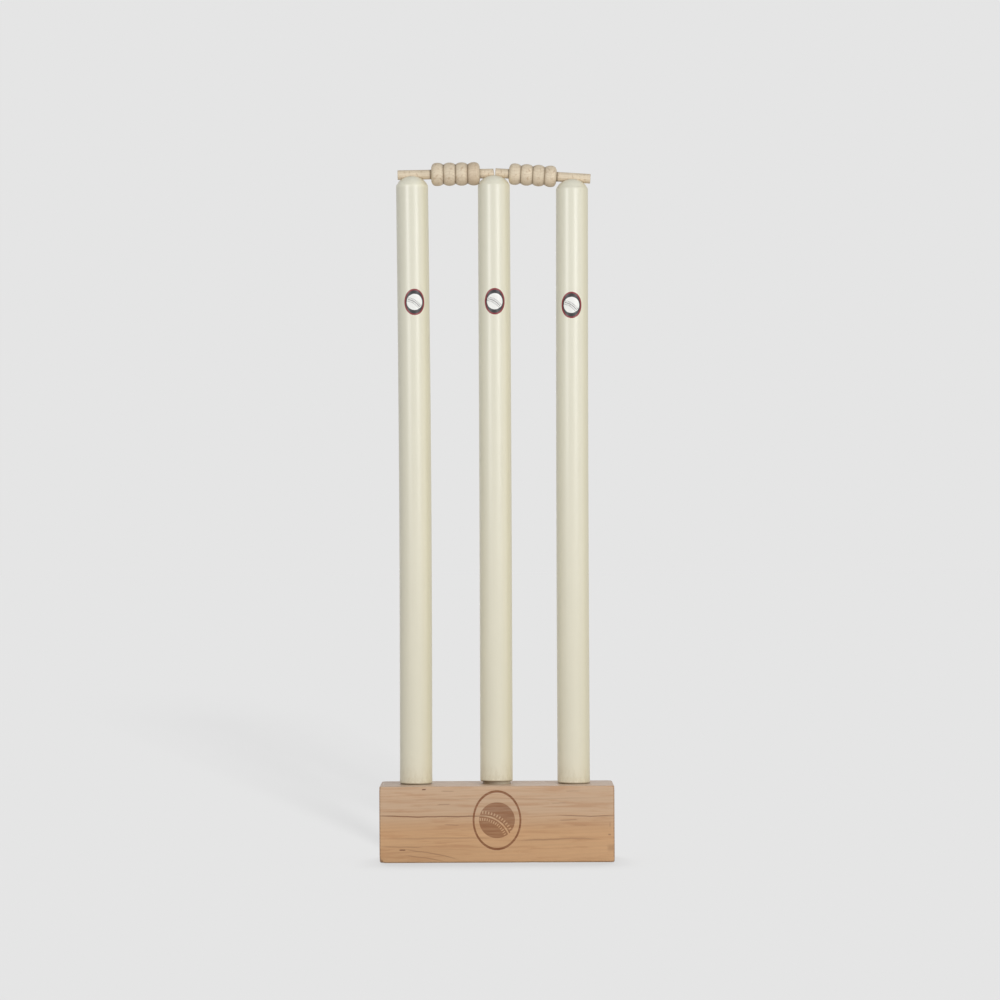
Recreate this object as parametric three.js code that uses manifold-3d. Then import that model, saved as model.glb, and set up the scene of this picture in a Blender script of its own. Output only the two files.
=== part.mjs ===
// Cricket stumps that stand by themselves: three round stumps in the sockets of a square wooden block,
// with two turned bails lying in the grooves across their domed tops.
// Millimetres. +X runs along the wicket, +Y goes away from the front and +Z goes up.
// The origin is the middle of the block's underside.

import * as THREE from "three";
import { mergeVertices } from "three/addons/utils/BufferGeometryUtils.js";
import Module from "manifold-3d";

const wasm = await Module();
wasm.setup();

// Clearances
const seatGap = 0.3; // between a resting piece and what carries it
const socketClearance = 0.3; // all round a tenon
const grooveSlack = 0.65; // at each side of a spigot
const overrun = 5; // how far a cut runs past the face it opens

// Base block
const blockWidth = 89;
const blockHeight = 89;
const blockLeftEnd = 41.8; // from the end face to the left stump's axis
const blockRightEnd = 46.3;
const blockEdgeRound = 2.5;
const blockEndEase = 1.5;
const socketFloor = 22; // wood left under the outer sockets
const socketAir = 6; // free depth below the outer tenons

// Stumps
const stumpLength = 712.9; // from the shoulder on the block to the crown of the dome
const leftStumpExtra = 2.3;
const rightStumpShortfall = 2;
const middleStumpRise = 3; // its shoulder stands this far above the block
const stumpFootDiameter = 38.1;
const stumpTopDiameter = 37.7;
const stumpFootRound = 2;
const domeHeight = 11.3;
const domeRimStep = 0.5; // the dome's rim is this much smaller in radius than the shaft
const domeRimFall = 2; // the height over which the shaft turns in to that rim
const tenonDiameter = 32.5;
const tenonChamfer = 2;
const leftGrooveDepth = 5.1;
const middleGrooveDepth = 4.25;
const rightGrooveDepth = 5.7;
const leftStumpSway = 2; // how far its crown stands out from over its foot, in the play of its socket
const rightStumpSway = 1.35;

// Bails
const spigotDiameter = 11.3;
const spigotEase = 0.8;
const leftLongSpigot = 39.6; // the outer end, from the barrel
const rightLongSpigot = 40.1;
const leftBarrelDiameter = 27.4;
const rightBarrelDiameter = 25.3;
const leftBarrelLength = 57.2;
const rightBarrelLength = 56.1;
const valleyDepth = 2.4; // of the turned valleys between the beads
const faceFall = 3.1; // how much further the end beads fall at the barrel's two faces
const beadCount = 4;
const beadSquareness = 2.3; // power of a bead's curve: higher is flatter, with a narrower valley
const faceSquareness = 6.5; // power of the end beads' further fall
const bailMeetingGap = 0.6; // between the inner ends of two level bails
const bailMeetingShift = 0.9; // from the middle stump's axis to the middle of that gap, towards +X
const leftInnerPlay = 0; // from the barrel to touching the middle stump's dome
const rightInnerPlay = 1.1;
const leftOuterPlay = 6.4; // from the barrel to touching the outer stump's dome
const rightOuterPlay = 3.95;

// Facets
const stumpFacets = 48;
const bailFacets = 36;
const domeSteps = 8;
const roundSteps = 4;
const beadSteps = 8;
const grooveSteps = 12;
const settlingRounds = 6;

const stumpTopRadius = stumpTopDiameter / 2;
const stumpFootRadius = stumpFootDiameter / 2;
const domeRimRadius = stumpTopRadius - domeRimStep;
const domeRadius = (domeRimRadius ** 2 + domeHeight ** 2) / (2 * domeHeight);
const spigotRadius = spigotDiameter / 2;
const grooveRadius = spigotRadius + grooveSlack;
const tenonRadius = tenonDiameter / 2;
const tenonLength = blockHeight - socketFloor - socketAir;
const outerSocketDepth = tenonLength + socketAir;
const middleSocketDepth = tenonLength + seatGap - middleStumpRise;

// A stump's own sizes: its length above the shoulder, the height of that shoulder above the block, the depth of
// its groove below the crown, its socket's depth and its sway. The crown and the groove's floor follow.
function stumpSizes(length, shoulderRise, grooveDepth, socketDepth, sway) {
  const shoulder = blockHeight + shoulderRise;
  const crown = shoulder + length;
  const lean = Math.asin(sway / length);
  return {
    length,
    grooveDepth,
    socketDepth,
    shoulder,
    crown,
    grooveFloor: crown - grooveDepth,
    grooveReach: Math.sqrt(2 * domeRadius * grooveDepth - grooveDepth ** 2),
    lean,
    domeOut: (length - domeRadius) * Math.sin(lean),
  };
}

const leftLength = stumpLength + leftStumpExtra;
const rightLength = stumpLength - rightStumpShortfall;
const left = stumpSizes(leftLength, seatGap, leftGrooveDepth, outerSocketDepth, leftStumpSway);
const middle = stumpSizes(stumpLength, middleStumpRise, middleGrooveDepth, middleSocketDepth, 0);
const right = stumpSizes(rightLength, seatGap, rightGrooveDepth, outerSocketDepth, rightStumpSway);

// Half outline of a barrel, as [radius, distance from its face]. It is the same from either end.
function barrelOutline(diameter, length) {
  const points = [];
  for (let bead = 0; bead < beadCount; bead += 1) {
    for (let step = bead === 0 ? 0 : 1; step <= beadSteps; step += 1) {
      const along = (1 - Math.cos((Math.PI * step) / beadSteps)) / 2;
      const fromCrown = Math.abs(2 * along - 1);
      const nearFace = (bead === 0 && along < 0.5) || (bead === beadCount - 1 && along > 0.5);
      const furtherFall = nearFace ? faceFall * fromCrown ** faceSquareness : 0;
      const fall = valleyDepth * fromCrown ** beadSquareness + furtherFall;
      points.push([diameter / 2 - fall, ((bead + along) / beadCount) * length]);
    }
  }
  return points;
}

// How far from a dome's middle a point has to stay, at a given height, to clear the dome.
function domeStandoff(stump, height) {
  const rise = height - (stump.crown - domeRadius);
  return Math.sqrt(Math.max((domeRadius + seatGap) ** 2 - rise ** 2, 0));
}

// How far a barrel's face has to stay from a dome's middle, so that the barrel's lower side clears the dome.
// The bail's axis is at faceHeight where it meets the face, and rises by tilt away from the stump.
function faceStandoff(stump, barrel, faceHeight, tilt) {
  const needed = barrel.map(([radius, inward]) => {
    const height = faceHeight + inward * Math.sin(tilt) - radius * Math.cos(tilt);
    return domeStandoff(stump, height) - inward * Math.cos(tilt) - radius * Math.sin(tilt);
  });
  return Math.max(...needed);
}

// A bail's own sizes. Its short inner spigot runs from the barrel, near the middle dome, to the meeting gap.
function bailSizes(barrelDiameter, barrelLength, longSpigot, meetingReach, innerPlay, outerPlay) {
  const barrel = barrelOutline(barrelDiameter, barrelLength);
  const levelHeight = middle.grooveFloor + seatGap + spigotRadius;
  const shortSpigot = faceStandoff(middle, barrel, levelHeight, 0) + innerPlay - meetingReach;
  const barrelEnd = shortSpigot + barrelLength;
  const length = barrelEnd + longSpigot;
  return { barrel, barrelLength, shortSpigot, barrelEnd, length, meetingReach, innerPlay, outerPlay };
}

const leftBail = bailSizes(
  leftBarrelDiameter,
  leftBarrelLength,
  leftLongSpigot,
  bailMeetingGap / 2 - bailMeetingShift,
  leftInnerPlay,
  leftOuterPlay,
);
const rightBail = bailSizes(
  rightBarrelDiameter,
  rightBarrelLength,
  rightLongSpigot,
  bailMeetingGap / 2 + bailMeetingShift,
  rightInnerPlay,
  rightOuterPlay,
);

// Where a bail lies in the upright plane of the wicket, t being the distance outward from the middle stump.
// It rests on one rim of each groove, on its lower side. Its tilt and the outer dome's distance depend on
// each other, and a few rounds settle both.
function bailLie(outer, sizes) {
  let spacing = sizes.barrelLength + stumpTopDiameter;
  let innerT = sizes.meetingReach;
  let innerZ = 0;
  let tilt = 0;
  for (let round = 0; round < settlingRounds; round += 1) {
    const fallsOutward = outer.grooveFloor < middle.grooveFloor;
    const innerRest = fallsOutward ? middle.grooveReach : innerT;
    const outerRest = fallsOutward ? spacing + outer.grooveReach : spacing - outer.grooveReach;
    tilt = Math.atan2(outer.grooveFloor - middle.grooveFloor, outerRest - innerRest);
    const axisHeight = (t) =>
      middle.grooveFloor + (seatGap + spigotRadius) / Math.cos(tilt) + (t - innerRest) * Math.tan(tilt);
    const innerFaceT = innerT + sizes.shortSpigot * Math.cos(tilt);
    const innerStandoff = faceStandoff(middle, sizes.barrel, axisHeight(innerFaceT), tilt);
    innerT += innerStandoff + sizes.innerPlay - innerFaceT;
    innerZ = axisHeight(innerT);
    const outerFaceT = innerT + sizes.barrelEnd * Math.cos(tilt);
    const outerStandoff = faceStandoff(outer, sizes.barrel, axisHeight(outerFaceT), -tilt);
    spacing = outerFaceT + outerStandoff + sizes.outerPlay;
  }
  return { spacing, innerT, innerZ, tilt };
}

const leftLie = bailLie(left, leftBail);
const rightLie = bailLie(right, rightBail);
const leftFootSpacing = leftLie.spacing - left.domeOut;
const rightFootSpacing = rightLie.spacing - right.domeOut;
const blockLength = blockLeftEnd + leftFootSpacing + rightFootSpacing + blockRightEnd;
left.x = blockLeftEnd - blockLength / 2;
middle.x = left.x + leftFootSpacing;
right.x = middle.x + rightFootSpacing;

const creamPaint = { color: 0xdcd8c2, roughness: 0.38, metalness: 0 };
const bareBeech = { color: 0xd9c2a3, roughness: 0.6, metalness: 0 };
const oiledBlock = { color: 0xbb9b7f, roughness: 0.55, metalness: 0 };

// A quarter turn of an ellipse from one [radius, height] point to another, leaving the first upright when
// upFirst is true and level when it is false. The first point is left out.
function quarterTurn(from, to, steps, upFirst) {
  const points = [];
  for (let step = 1; step <= steps; step += 1) {
    const angle = (step / steps) * (Math.PI / 2);
    const early = 1 - Math.cos(angle);
    const late = Math.sin(angle);
    const across = upFirst ? early : late;
    const along = upFirst ? late : early;
    points.push([from[0] + (to[0] - from[0]) * across, from[1] + (to[1] - from[1]) * along]);
  }
  return points;
}

// A closed solid turned about +Z from [radius, height] points that run up from the axis and back to it.
function turned(outline, facets) {
  const points = outline.map(([radius, height]) => new THREE.Vector2(radius, height));
  const geometry = new THREE.LatheGeometry(points, facets);
  geometry.rotateX(Math.PI / 2);
  return geometry;
}

// A shape drawn in Y and Z, run along X to both sides of the origin.
function runAlongX(shape, length, settings) {
  const geometry = new THREE.ExtrudeGeometry(shape, { depth: length, ...settings });
  geometry.translate(0, 0, -length / 2);
  const toWicket = new THREE.Matrix4().makeBasis(
    new THREE.Vector3(0, 1, 0),
    new THREE.Vector3(0, 0, 1),
    new THREE.Vector3(1, 0, 0),
  );
  geometry.applyMatrix4(toWicket);
  return geometry;
}

function toSolid(geometry) {
  const bare = new THREE.BufferGeometry();
  bare.setAttribute("position", geometry.getAttribute("position"));
  bare.setIndex(geometry.getIndex());
  const merged = mergeVertices(bare);
  const mesh = new wasm.Mesh({
    numProp: 3,
    vertProperties: merged.getAttribute("position").array,
    triVerts: Uint32Array.from(merged.getIndex().array),
  });
  return new wasm.Manifold(mesh);
}

function toGeometry(solid) {
  const mesh = solid.getMesh();
  const geometry = new THREE.BufferGeometry();
  geometry.setAttribute("position", new THREE.BufferAttribute(mesh.vertProperties, 3));
  geometry.setIndex(new THREE.BufferAttribute(mesh.triVerts, 1));
  const faceted = geometry.toNonIndexed();
  faceted.computeVertexNormals();
  return faceted;
}

function named(name, geometry, finish) {
  const mesh = new THREE.Mesh(geometry, new THREE.MeshStandardMaterial(finish));
  mesh.name = name;
  return mesh;
}

// Half outline of a stump, with height 0 at the shoulder and the tenon below it.
function stumpOutline(stump) {
  const rimHeight = stump.length - domeHeight;
  const footEdge = [stumpFootRadius - stumpFootRound, 0];
  const footSide = [stumpFootRadius, stumpFootRound];
  const shaftTop = [stumpTopRadius, rimHeight - domeRimFall];
  const domeRim = [domeRimRadius, rimHeight];
  const outline = [
    [0, -tenonLength],
    [tenonRadius - tenonChamfer, -tenonLength],
    [tenonRadius, tenonChamfer - tenonLength],
    [tenonRadius, 0],
    footEdge,
    ...quarterTurn(footEdge, footSide, roundSteps, false),
    shaftTop,
    ...quarterTurn(shaftTop, domeRim, roundSteps, true),
  ];
  const rimAngle = Math.asin(domeRimRadius / domeRadius);
  for (let step = 1; step < domeSteps; step += 1) {
    const angle = rimAngle * (1 - step / domeSteps);
    outline.push([domeRadius * Math.sin(angle), stump.length - domeRadius * (1 - Math.cos(angle))]);
  }
  outline.push([0, stump.length]);
  return outline;
}

// The round-bottomed groove that the bails' spigots lie in, as the solid to be cut away.
function grooveCut(stump) {
  const floor = stump.length - stump.grooveDepth;
  const top = stump.length + grooveRadius + overrun;
  const shape = new THREE.Shape();
  shape.moveTo(grooveRadius, top);
  shape.lineTo(-grooveRadius, top);
  shape.lineTo(-grooveRadius, floor + grooveRadius);
  shape.absarc(0, floor + grooveRadius, grooveRadius, Math.PI, 2 * Math.PI, false);
  const settings = { bevelEnabled: false, curveSegments: grooveSteps };
  return runAlongX(shape, stumpTopDiameter + 2 * overrun, settings);
}

// A stump in its socket, leaning towards +X when side is 1 and towards -X when it is -1.
function stump(name, sizes, side) {
  const stick = toSolid(turned(stumpOutline(sizes), stumpFacets));
  const grooved = stick.subtract(toSolid(grooveCut(sizes)));
  const mesh = named(name, toGeometry(grooved), creamPaint);
  mesh.position.set(sizes.x, 0, sizes.shoulder);
  mesh.rotation.y = side * sizes.lean;
  return mesh;
}

// Half outline of a bail, from its short inner end to its long outer end.
function bailOutline(sizes) {
  return [
    [0, 0],
    [spigotRadius - spigotEase, 0],
    [spigotRadius, spigotEase],
    [spigotRadius, sizes.shortSpigot],
    ...sizes.barrel.map(([radius, inward]) => [radius, sizes.shortSpigot + inward]),
    [spigotRadius, sizes.barrelEnd],
    [spigotRadius, sizes.length - spigotEase],
    [spigotRadius - spigotEase, sizes.length],
    [0, sizes.length],
  ];
}

// A bail laid outward from the middle stump: towards +X when turn is 0, towards -X when it is half a turn.
function bail(name, sizes, lie, turn) {
  const geometry = turned(bailOutline(sizes), bailFacets);
  geometry.rotateY(Math.PI / 2);
  const mesh = named(name, geometry, bareBeech);
  mesh.position.set(lie.innerT, 0, lie.innerZ);
  mesh.rotation.y = -lie.tilt;
  const bearing = new THREE.Group();
  bearing.position.x = middle.x;
  bearing.rotation.z = turn;
  bearing.add(mesh);
  return bearing;
}

// A rectangle with round corners, standing on height 0.
function blockSection() {
  const side = blockWidth / 2;
  const inset = side - blockEdgeRound;
  const upper = blockHeight - blockEdgeRound;
  const shape = new THREE.Shape();
  shape.absarc(inset, blockEdgeRound, blockEdgeRound, -Math.PI / 2, 0, false);
  shape.absarc(inset, upper, blockEdgeRound, 0, Math.PI / 2, false);
  shape.absarc(-inset, upper, blockEdgeRound, Math.PI / 2, Math.PI, false);
  shape.absarc(-inset, blockEdgeRound, blockEdgeRound, Math.PI, 1.5 * Math.PI, false);
  return shape;
}

function socketCut(sizes) {
  const radius = tenonRadius + socketClearance;
  const height = sizes.socketDepth + overrun;
  const geometry = new THREE.CylinderGeometry(radius, radius, height, stumpFacets);
  geometry.rotateX(Math.PI / 2);
  geometry.translate(sizes.x, 0, blockHeight - sizes.socketDepth + height / 2);
  return geometry;
}

function baseBlock() {
  const settings = {
    bevelThickness: blockEndEase,
    bevelSize: blockEndEase,
    bevelOffset: -blockEndEase,
    bevelSegments: roundSteps,
    curveSegments: roundSteps,
  };
  let solid = toSolid(runAlongX(blockSection(), blockLength - 2 * blockEndEase, settings));
  for (const sizes of [left, middle, right]) {
    solid = solid.subtract(toSolid(socketCut(sizes)));
  }
  return named("base_block", toGeometry(solid), oiledBlock);
}

const group = new THREE.Group();
group.add(baseBlock());
group.add(stump("stump_left", left, -1));
group.add(stump("stump_middle", middle, 0));
group.add(stump("stump_right", right, 1));
group.add(bail("bail_left", leftBail, leftLie, Math.PI));
group.add(bail("bail_right", rightBail, rightLie, 0));

export default group;
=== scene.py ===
"""Free-standing cricket wicket: the finished block, stumps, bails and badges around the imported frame.

Metres. +X runs along the wicket, +Y goes away from the front and +Z goes up.
"""

import math

import bpy
import numpy as np
from mathutils import Matrix, Vector


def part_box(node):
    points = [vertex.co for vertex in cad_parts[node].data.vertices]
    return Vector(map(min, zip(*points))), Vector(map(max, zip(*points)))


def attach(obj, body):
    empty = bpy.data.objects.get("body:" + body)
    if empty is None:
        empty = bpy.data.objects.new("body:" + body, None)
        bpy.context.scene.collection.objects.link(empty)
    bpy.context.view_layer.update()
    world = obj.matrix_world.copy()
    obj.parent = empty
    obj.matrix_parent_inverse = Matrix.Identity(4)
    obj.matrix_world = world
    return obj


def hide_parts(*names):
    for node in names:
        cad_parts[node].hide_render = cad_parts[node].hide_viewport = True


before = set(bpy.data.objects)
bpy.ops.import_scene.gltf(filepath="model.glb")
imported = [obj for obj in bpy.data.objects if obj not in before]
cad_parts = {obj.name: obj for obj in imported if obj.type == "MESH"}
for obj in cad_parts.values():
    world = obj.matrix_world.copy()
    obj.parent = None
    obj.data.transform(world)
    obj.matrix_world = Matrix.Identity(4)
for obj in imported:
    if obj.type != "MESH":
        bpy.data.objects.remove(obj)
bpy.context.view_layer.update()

bl_info = {
    "name": "Cricket wicket",
    "version": (1, 0, 0),
    "blender": (4, 5, 0),
    "location": "3D View > Sidebar > Wicket",
    "description": "Makes a free-standing wicket of a block, three stumps and two bails",
    "category": "Add Mesh",
}

MM = 0.001
SIDES = ("left", "middle", "right")
SMOOTH_ANGLE = math.radians(38)
SEAM_TILT = math.radians(-32)  # of the stitched ball's seam, on the badges as on the block
MERGE_DISTANCE = 0.001 * MM
SENSOR_WIDTH = 36  # millimetres
CAMERA_REACH = 200  # metres, past the far edge of the floor
NODE_STEP = 180  # between two nodes, for when a tree is looked at in the node editor


def shade(red, green, blue):
    """A screen colour of 0 to 255 as the linear colour that the shaders use."""
    steps = [channel / 255 for channel in (red, green, blue)]
    return tuple(c / 12.92 if c <= 0.04045 else ((c + 0.055) / 1.055) ** 2.4 for c in steps)


def length(name, description, millimetres):
    """A property that holds a length."""
    return bpy.props.FloatProperty(
        name=name, description=description, default=millimetres * MM, unit="LENGTH", precision=5
    )


def colour(name, description, red, green, blue):
    """A property that holds a colour, given as it looks on the screen."""
    return bpy.props.FloatVectorProperty(
        name=name, description=description, default=shade(red, green, blue), subtype="COLOR", size=3,
        min=0, max=1,
    )


def count(name, description, number):
    """A property that holds a number of things."""
    return bpy.props.IntProperty(name=name, description=description, default=number, min=1)


def angle(name, description, degrees):
    """A property that holds an angle."""
    return bpy.props.FloatProperty(
        name=name, description=description, default=math.radians(degrees), subtype="ANGLE"
    )


class WicketBlockSettings(bpy.types.PropertyGroup):
    edge_round: length("Edge round", "Radius of the block's long edges", 1.8)
    end_round: length("End round", "Radius of the edges round both ends", 1.7)
    socket_clearance: length("Socket clearance", "Free space all round a tenon in its socket", 0.3)
    socket_air: length("Socket air", "Free depth under the outer tenons", 6.3)
    middle_air: length("Middle socket air", "Free depth under the middle tenon", 0.3)
    rim_chamfer: length("Socket rim chamfer", "Width of the chamfer round a socket's mouth", 0.35)
    pale_wood: colour("Pale wood", "Early wood of the block", 201, 169, 138)
    dark_wood: colour("Dark wood", "Late wood of the block", 160, 120, 88)
    warm_wood: colour("Warm wood", "Redder wood in the lower half", 207, 162, 117)
    streak_wood: colour("Streak wood", "Soft orange-brown streaks along the grain", 172, 121, 80)
    # Greyer top: partly dust, and partly a painted reflection of the pale sky that a low view sees in the
    # top face
    top_dust_and_sheen_wood: colour("Top wood", "Greyer wood of the top", 203, 182, 165)
    knot_wood: colour("Knot wood", "Knots, flecks and dark grain lines", 112, 70, 40)
    end_wood: colour("End wood", "Oil-darkened end grain", 176, 138, 105)
    burnt_wood: colour("Burnt wood", "Burnt mark on the front", 126, 75, 38)
    # Dirt along the edges, and painted contact shade along the lowest 2 mm where the block stands on the
    # floor
    grime_and_shade: colour("Grime", "Dirt along the lower edges", 116, 103, 92)


class WicketStumpSettings(bpy.types.PropertyGroup):
    foot_diameter: length("Foot diameter", "Shaft at the shoulder", 38.1)
    top_diameter: length("Top diameter", "Shaft under the dome", 37.7)
    foot_round: length("Foot round", "Radius of the edge of the shoulder", 1.4)
    tenon_diameter: length("Tenon diameter", "Turned-down foot that enters the block", 32.5)
    tenon_length: length("Tenon length", "From the tenon's end to the shoulder", 61)
    tenon_chamfer: length("Tenon chamfer", "Chamfer of the tenon's end", 2)
    dome_height: length("Dome height", "From the dome's rim to the crown", 11.3)
    rim_step: length("Rim step", "How much smaller the dome's rim is than the shaft, in radius", 0.5)
    rim_fall: length("Rim fall", "Height over which the shaft turns in to the rim", 2)
    left_groove: length("Left groove depth", "Depth of the left stump's groove below its crown", 5.1)
    middle_groove: length("Middle groove depth", "Depth of the middle stump's groove", 4.25)
    right_groove: length("Right groove depth", "Depth of the right stump's groove", 5.7)
    groove_radius: length("Groove radius", "Radius of the round bottom of the grooves", 6.3)
    groove_softness: length("Groove softness", "How far the grooves' edges are rounded over", 0.7)
    paint_lap: length("Paint lap", "How far the paint runs down the tenon", 5)
    left_bow: length("Left bow", "How far the left stump's middle is warped to the right", 1.3)
    middle_bow: length("Middle bow", "How far the middle stump is warped to the right", 0.3)
    right_bow: length("Right bow", "How far the right stump is warped to the right", -0.6)
    turns: count("Turns", "Facets round a stump", 160)
    # The paint is graded from top to foot: partly painted light, yellower toward the foot for the warm
    # light bounced off the block
    upper_paint: colour("Upper paint", "Cream paint near the top", 222, 219, 201)
    lower_paint: colour("Lower paint", "Cream paint near the foot", 224, 218, 196)
    # Painted warm light: a yellower paint down the right side of each stump, where the side lamp falls
    warm_lit_paint: colour("Warm lit paint", "Paint tinted yellow down one side as painted warm light", 222, 214, 182)
    # Worn paint, which also paints contact shade at the foot of each stump
    worn_and_shaded_paint: colour("Worn paint", "Rubbed and handled paint", 186, 172, 140)


class WicketBailSettings(bpy.types.PropertyGroup):
    spigot_diameter: length("Spigot diameter", "Thin ends that lie on the stumps", 11.3)
    end_ease: length("End ease", "Rounding of the spigots' ends", 0.5)
    right_reach: length("Right reach", "How much nearer the left bail the right one's inner end comes", 0.5)
    sanded: length("Sanded", "How far the beads stay under the barrel's full radius", 0.02)
    valley_depth: length("Valley depth", "Depth between two beads", 2.4)
    face_fall: length("Face fall", "How much further the end beads fall at the barrel's faces", 3.1)
    scribe_depth: length("Scribe depth", "Depth of the line scribed in each valley", 0.3)
    root_fillet: length("Root fillet", "Hollow where a spigot meets the barrel", 0.7)
    left_slant: angle("Left slant", "How far the left bail's inner end is sawn out of square", 8.5)
    beads: count("Beads", "Beads on the barrel", 4)
    turns: count("Turns", "Facets round a bail", 96)
    pale_beech: colour("Pale beech", "Main colour of the bails", 222, 207, 182)
    dark_beech: colour("Dark beech", "Late wood and flecks of the bails", 176, 148, 115)
    # Brown blotches, the darker bead, and painted shade on the bails' undersides
    blotched_and_shaded_beech: colour("Rubbed beech", "Brown blotches where the bails were handled", 166, 132, 96)
    # Dirt, and painted shade in the bails' valleys and hollows and round the stumps' feet
    valley_shade_and_grime: colour("Valley grime", "Dirt in the turned valleys", 112, 90, 62)


class WicketBadgeSettings(bpy.types.PropertyGroup):
    width: length("Width", "Width of a badge round the stump", 25)
    height: length("Height", "Height of a badge", 31)
    rim_width: length("Rim width", "Width of the red rim", 1.8)
    ball_diameter: length("Ball diameter", "White ball in the middle", 19)
    seam_bow: length("Seam bow", "Radius of the seam's curve", 22)
    seam_gap: length("Seam gap", "Between the middle of the seam and each row of stitches", 2)
    seam_width: length("Seam width", "Width of the drawn seam", 0.7)
    stitch_length: length("Stitch length", "Length of a stitch across the seam", 1.5)
    stitch_width: length("Stitch width", "Width of a stitch", 0.5)
    stitches: count("Stitches", "Stitches in one row", 11)
    below_crown: length("Below the crown", "From the crown to the middle of a badge", 150.1)
    layer: length("Layer", "Thickness of one layer of ink", 0.03)
    left_turn: angle("Left turn", "How far the left badge is turned to the right", 5.3)
    middle_turn: angle("Middle turn", "How far the middle badge is turned to the right", 1)
    right_turn: angle("Right turn", "How far the right badge is turned to the right", -3.4)
    rim_ink: colour("Rim ink", "Red ink of the rim", 128, 22, 34)
    field_ink: colour("Field ink", "Dark ink round the ball", 26, 24, 28)
    ball_ink: colour("Ball ink", "White ink of the ball", 236, 236, 232)
    seam_ink: colour("Seam ink", "Ink of the seam and its stitches", 40, 36, 38)


class WicketStageSettings(bpy.types.PropertyGroup):
    camera_distance: length("Camera distance", "From the wicket's upright plane to the camera", 4000)
    camera_height: length("Camera height", "Height of the camera over the floor", 369.1)
    camera_aside: length("Camera aside", "How far the camera stands to the right", 5.2)
    camera_tilt: angle("Camera tilt", "How far the camera looks up", 0.758)
    camera_roll: angle("Camera roll", "How far the camera is turned about its own axis", -0.26)
    lens: bpy.props.FloatProperty(
        name="Lens", description="Focal length on a sensor 36 mm wide", default=122.4, min=1, unit="CAMERA"
    )
    backdrop: colour("Backdrop", "Colour of the floor and of the backdrop", 229, 229, 229)


SETTINGS = {
    "wicket_block": WicketBlockSettings,
    "wicket_stumps": WicketStumpSettings,
    "wicket_bails": WicketBailSettings,
    "wicket_badges": WicketBadgeSettings,
    "wicket_stage": WicketStageSettings,
}


class Line:
    """A node's output that takes part in sums, where each sum is one more Math node."""

    def __init__(self, wiring, socket):
        self.wiring = wiring
        self.socket = socket

    def __add__(self, other):
        return self.wiring.sum_of("ADD", self, other)

    def __sub__(self, other):
        return self.wiring.sum_of("SUBTRACT", self, other)

    def __rsub__(self, other):
        return self.wiring.sum_of("SUBTRACT", other, self)

    def __mul__(self, other):
        return self.wiring.sum_of("MULTIPLY", self, other)

    def __truediv__(self, other):
        return self.wiring.sum_of("DIVIDE", self, other)

    def power(self, other):
        return self.wiring.sum_of("POWER", self, other)

    def size(self):
        return self.wiring.sum_of("ABSOLUTE", self)

    def root(self):
        return self.wiring.sum_of("SQRT", self)

    def above(self, floor):
        return self.wiring.sum_of("MAXIMUM", self, floor)

    def below(self, ceiling):
        return self.wiring.sum_of("MINIMUM", self, ceiling)

    def part(self):
        return self.wiring.sum_of("FRACT", self)

    def rise(self, low, high, start=0.0, end=1.0):
        """start below low, end above high, and a smooth step between them."""
        inputs = {"Value": self, "From Min": low, "From Max": high, "To Min": start, "To Max": end}
        node = self.wiring.node("ShaderNodeMapRange", inputs, interpolation_type="SMOOTHSTEP", clamp=True)
        return self.wiring.line(node, "Result")

    def fall(self, low, high):
        """1 below low, 0 above high, and a smooth step between them."""
        return self.rise(low, high, 1.0, 0.0)


class Wiring:
    """Writes a node tree, one node at a call."""

    def __init__(self, tree):
        self.tree = tree

    def node(self, kind, inputs=None, **settings):
        made = self.tree.nodes.new(kind)
        made.location.x = NODE_STEP * len(self.tree.nodes)
        for name, value in settings.items():
            setattr(made, name, value)
        for name, value in (inputs or {}).items():
            self.join(value, made.inputs[name])
        return made

    def join(self, value, socket):
        if isinstance(value, Line):
            value = value.socket
        if isinstance(value, bpy.types.NodeSocket):
            self.tree.links.new(value, socket)
        elif socket.type == "RGBA":
            socket.default_value = (*value, 1.0)[:4]
        else:
            socket.default_value = value

    def line(self, node, output=0):
        return Line(self, node.outputs[output])

    def sum_of(self, operation, *values):
        return self.line(self.node("ShaderNodeMath", dict(enumerate(values)), operation=operation))

    def split(self, vector):
        node = self.node("ShaderNodeSeparateXYZ", {0: vector})
        return [self.line(node, axis) for axis in range(3)]

    def vector(self, x, y, z):
        return self.line(self.node("ShaderNodeCombineXYZ", {0: x, 1: y, 2: z}))

    def scaled(self, vector, factor):
        node = self.node("ShaderNodeVectorMath", {"Vector": vector, "Scale": factor}, operation="SCALE")
        return self.line(node)

    def noise(self, place, stretch, detail=3.0, roughness=0.5, distortion=0.0):
        """Smooth noise from about 0.25 to 0.75, with stretch cycles to a unit of place along X, Y and Z."""
        mapped = self.node("ShaderNodeMapping", {"Vector": place, "Scale": stretch})
        inputs = {
            "Vector": mapped.outputs[0], "Scale": 1.0, "Detail": detail, "Roughness": roughness,
            "Distortion": distortion,
        }
        return self.line(self.node("ShaderNodeTexNoise", inputs, normalize=True))

    def mix(self, factor, first, second):
        """The first colour where factor is 0 and the second where it is 1."""
        inputs = {0: factor, 6: first, 7: second}
        node = self.node("ShaderNodeMix", inputs, data_type="RGBA", clamp_factor=True)
        return self.line(node, 2)

    def tone(self, colour_line, amount):
        """The colour times one number, which makes it lighter or darker."""
        grey = self.vector(amount, amount, amount)
        inputs = {0: colour_line, 1: grey}
        return self.line(self.node("ShaderNodeVectorMath", inputs, operation="MULTIPLY"))

    def attribute(self, name, output):
        node = self.node("ShaderNodeAttribute", attribute_name=name, attribute_type="GEOMETRY")
        return self.line(node, output)


def cleared(holder):
    """The wiring of a new material or world, with the nodes that it starts with taken out."""
    holder.use_nodes = True
    holder.node_tree.nodes.clear()
    return Wiring(holder.node_tree)


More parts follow.
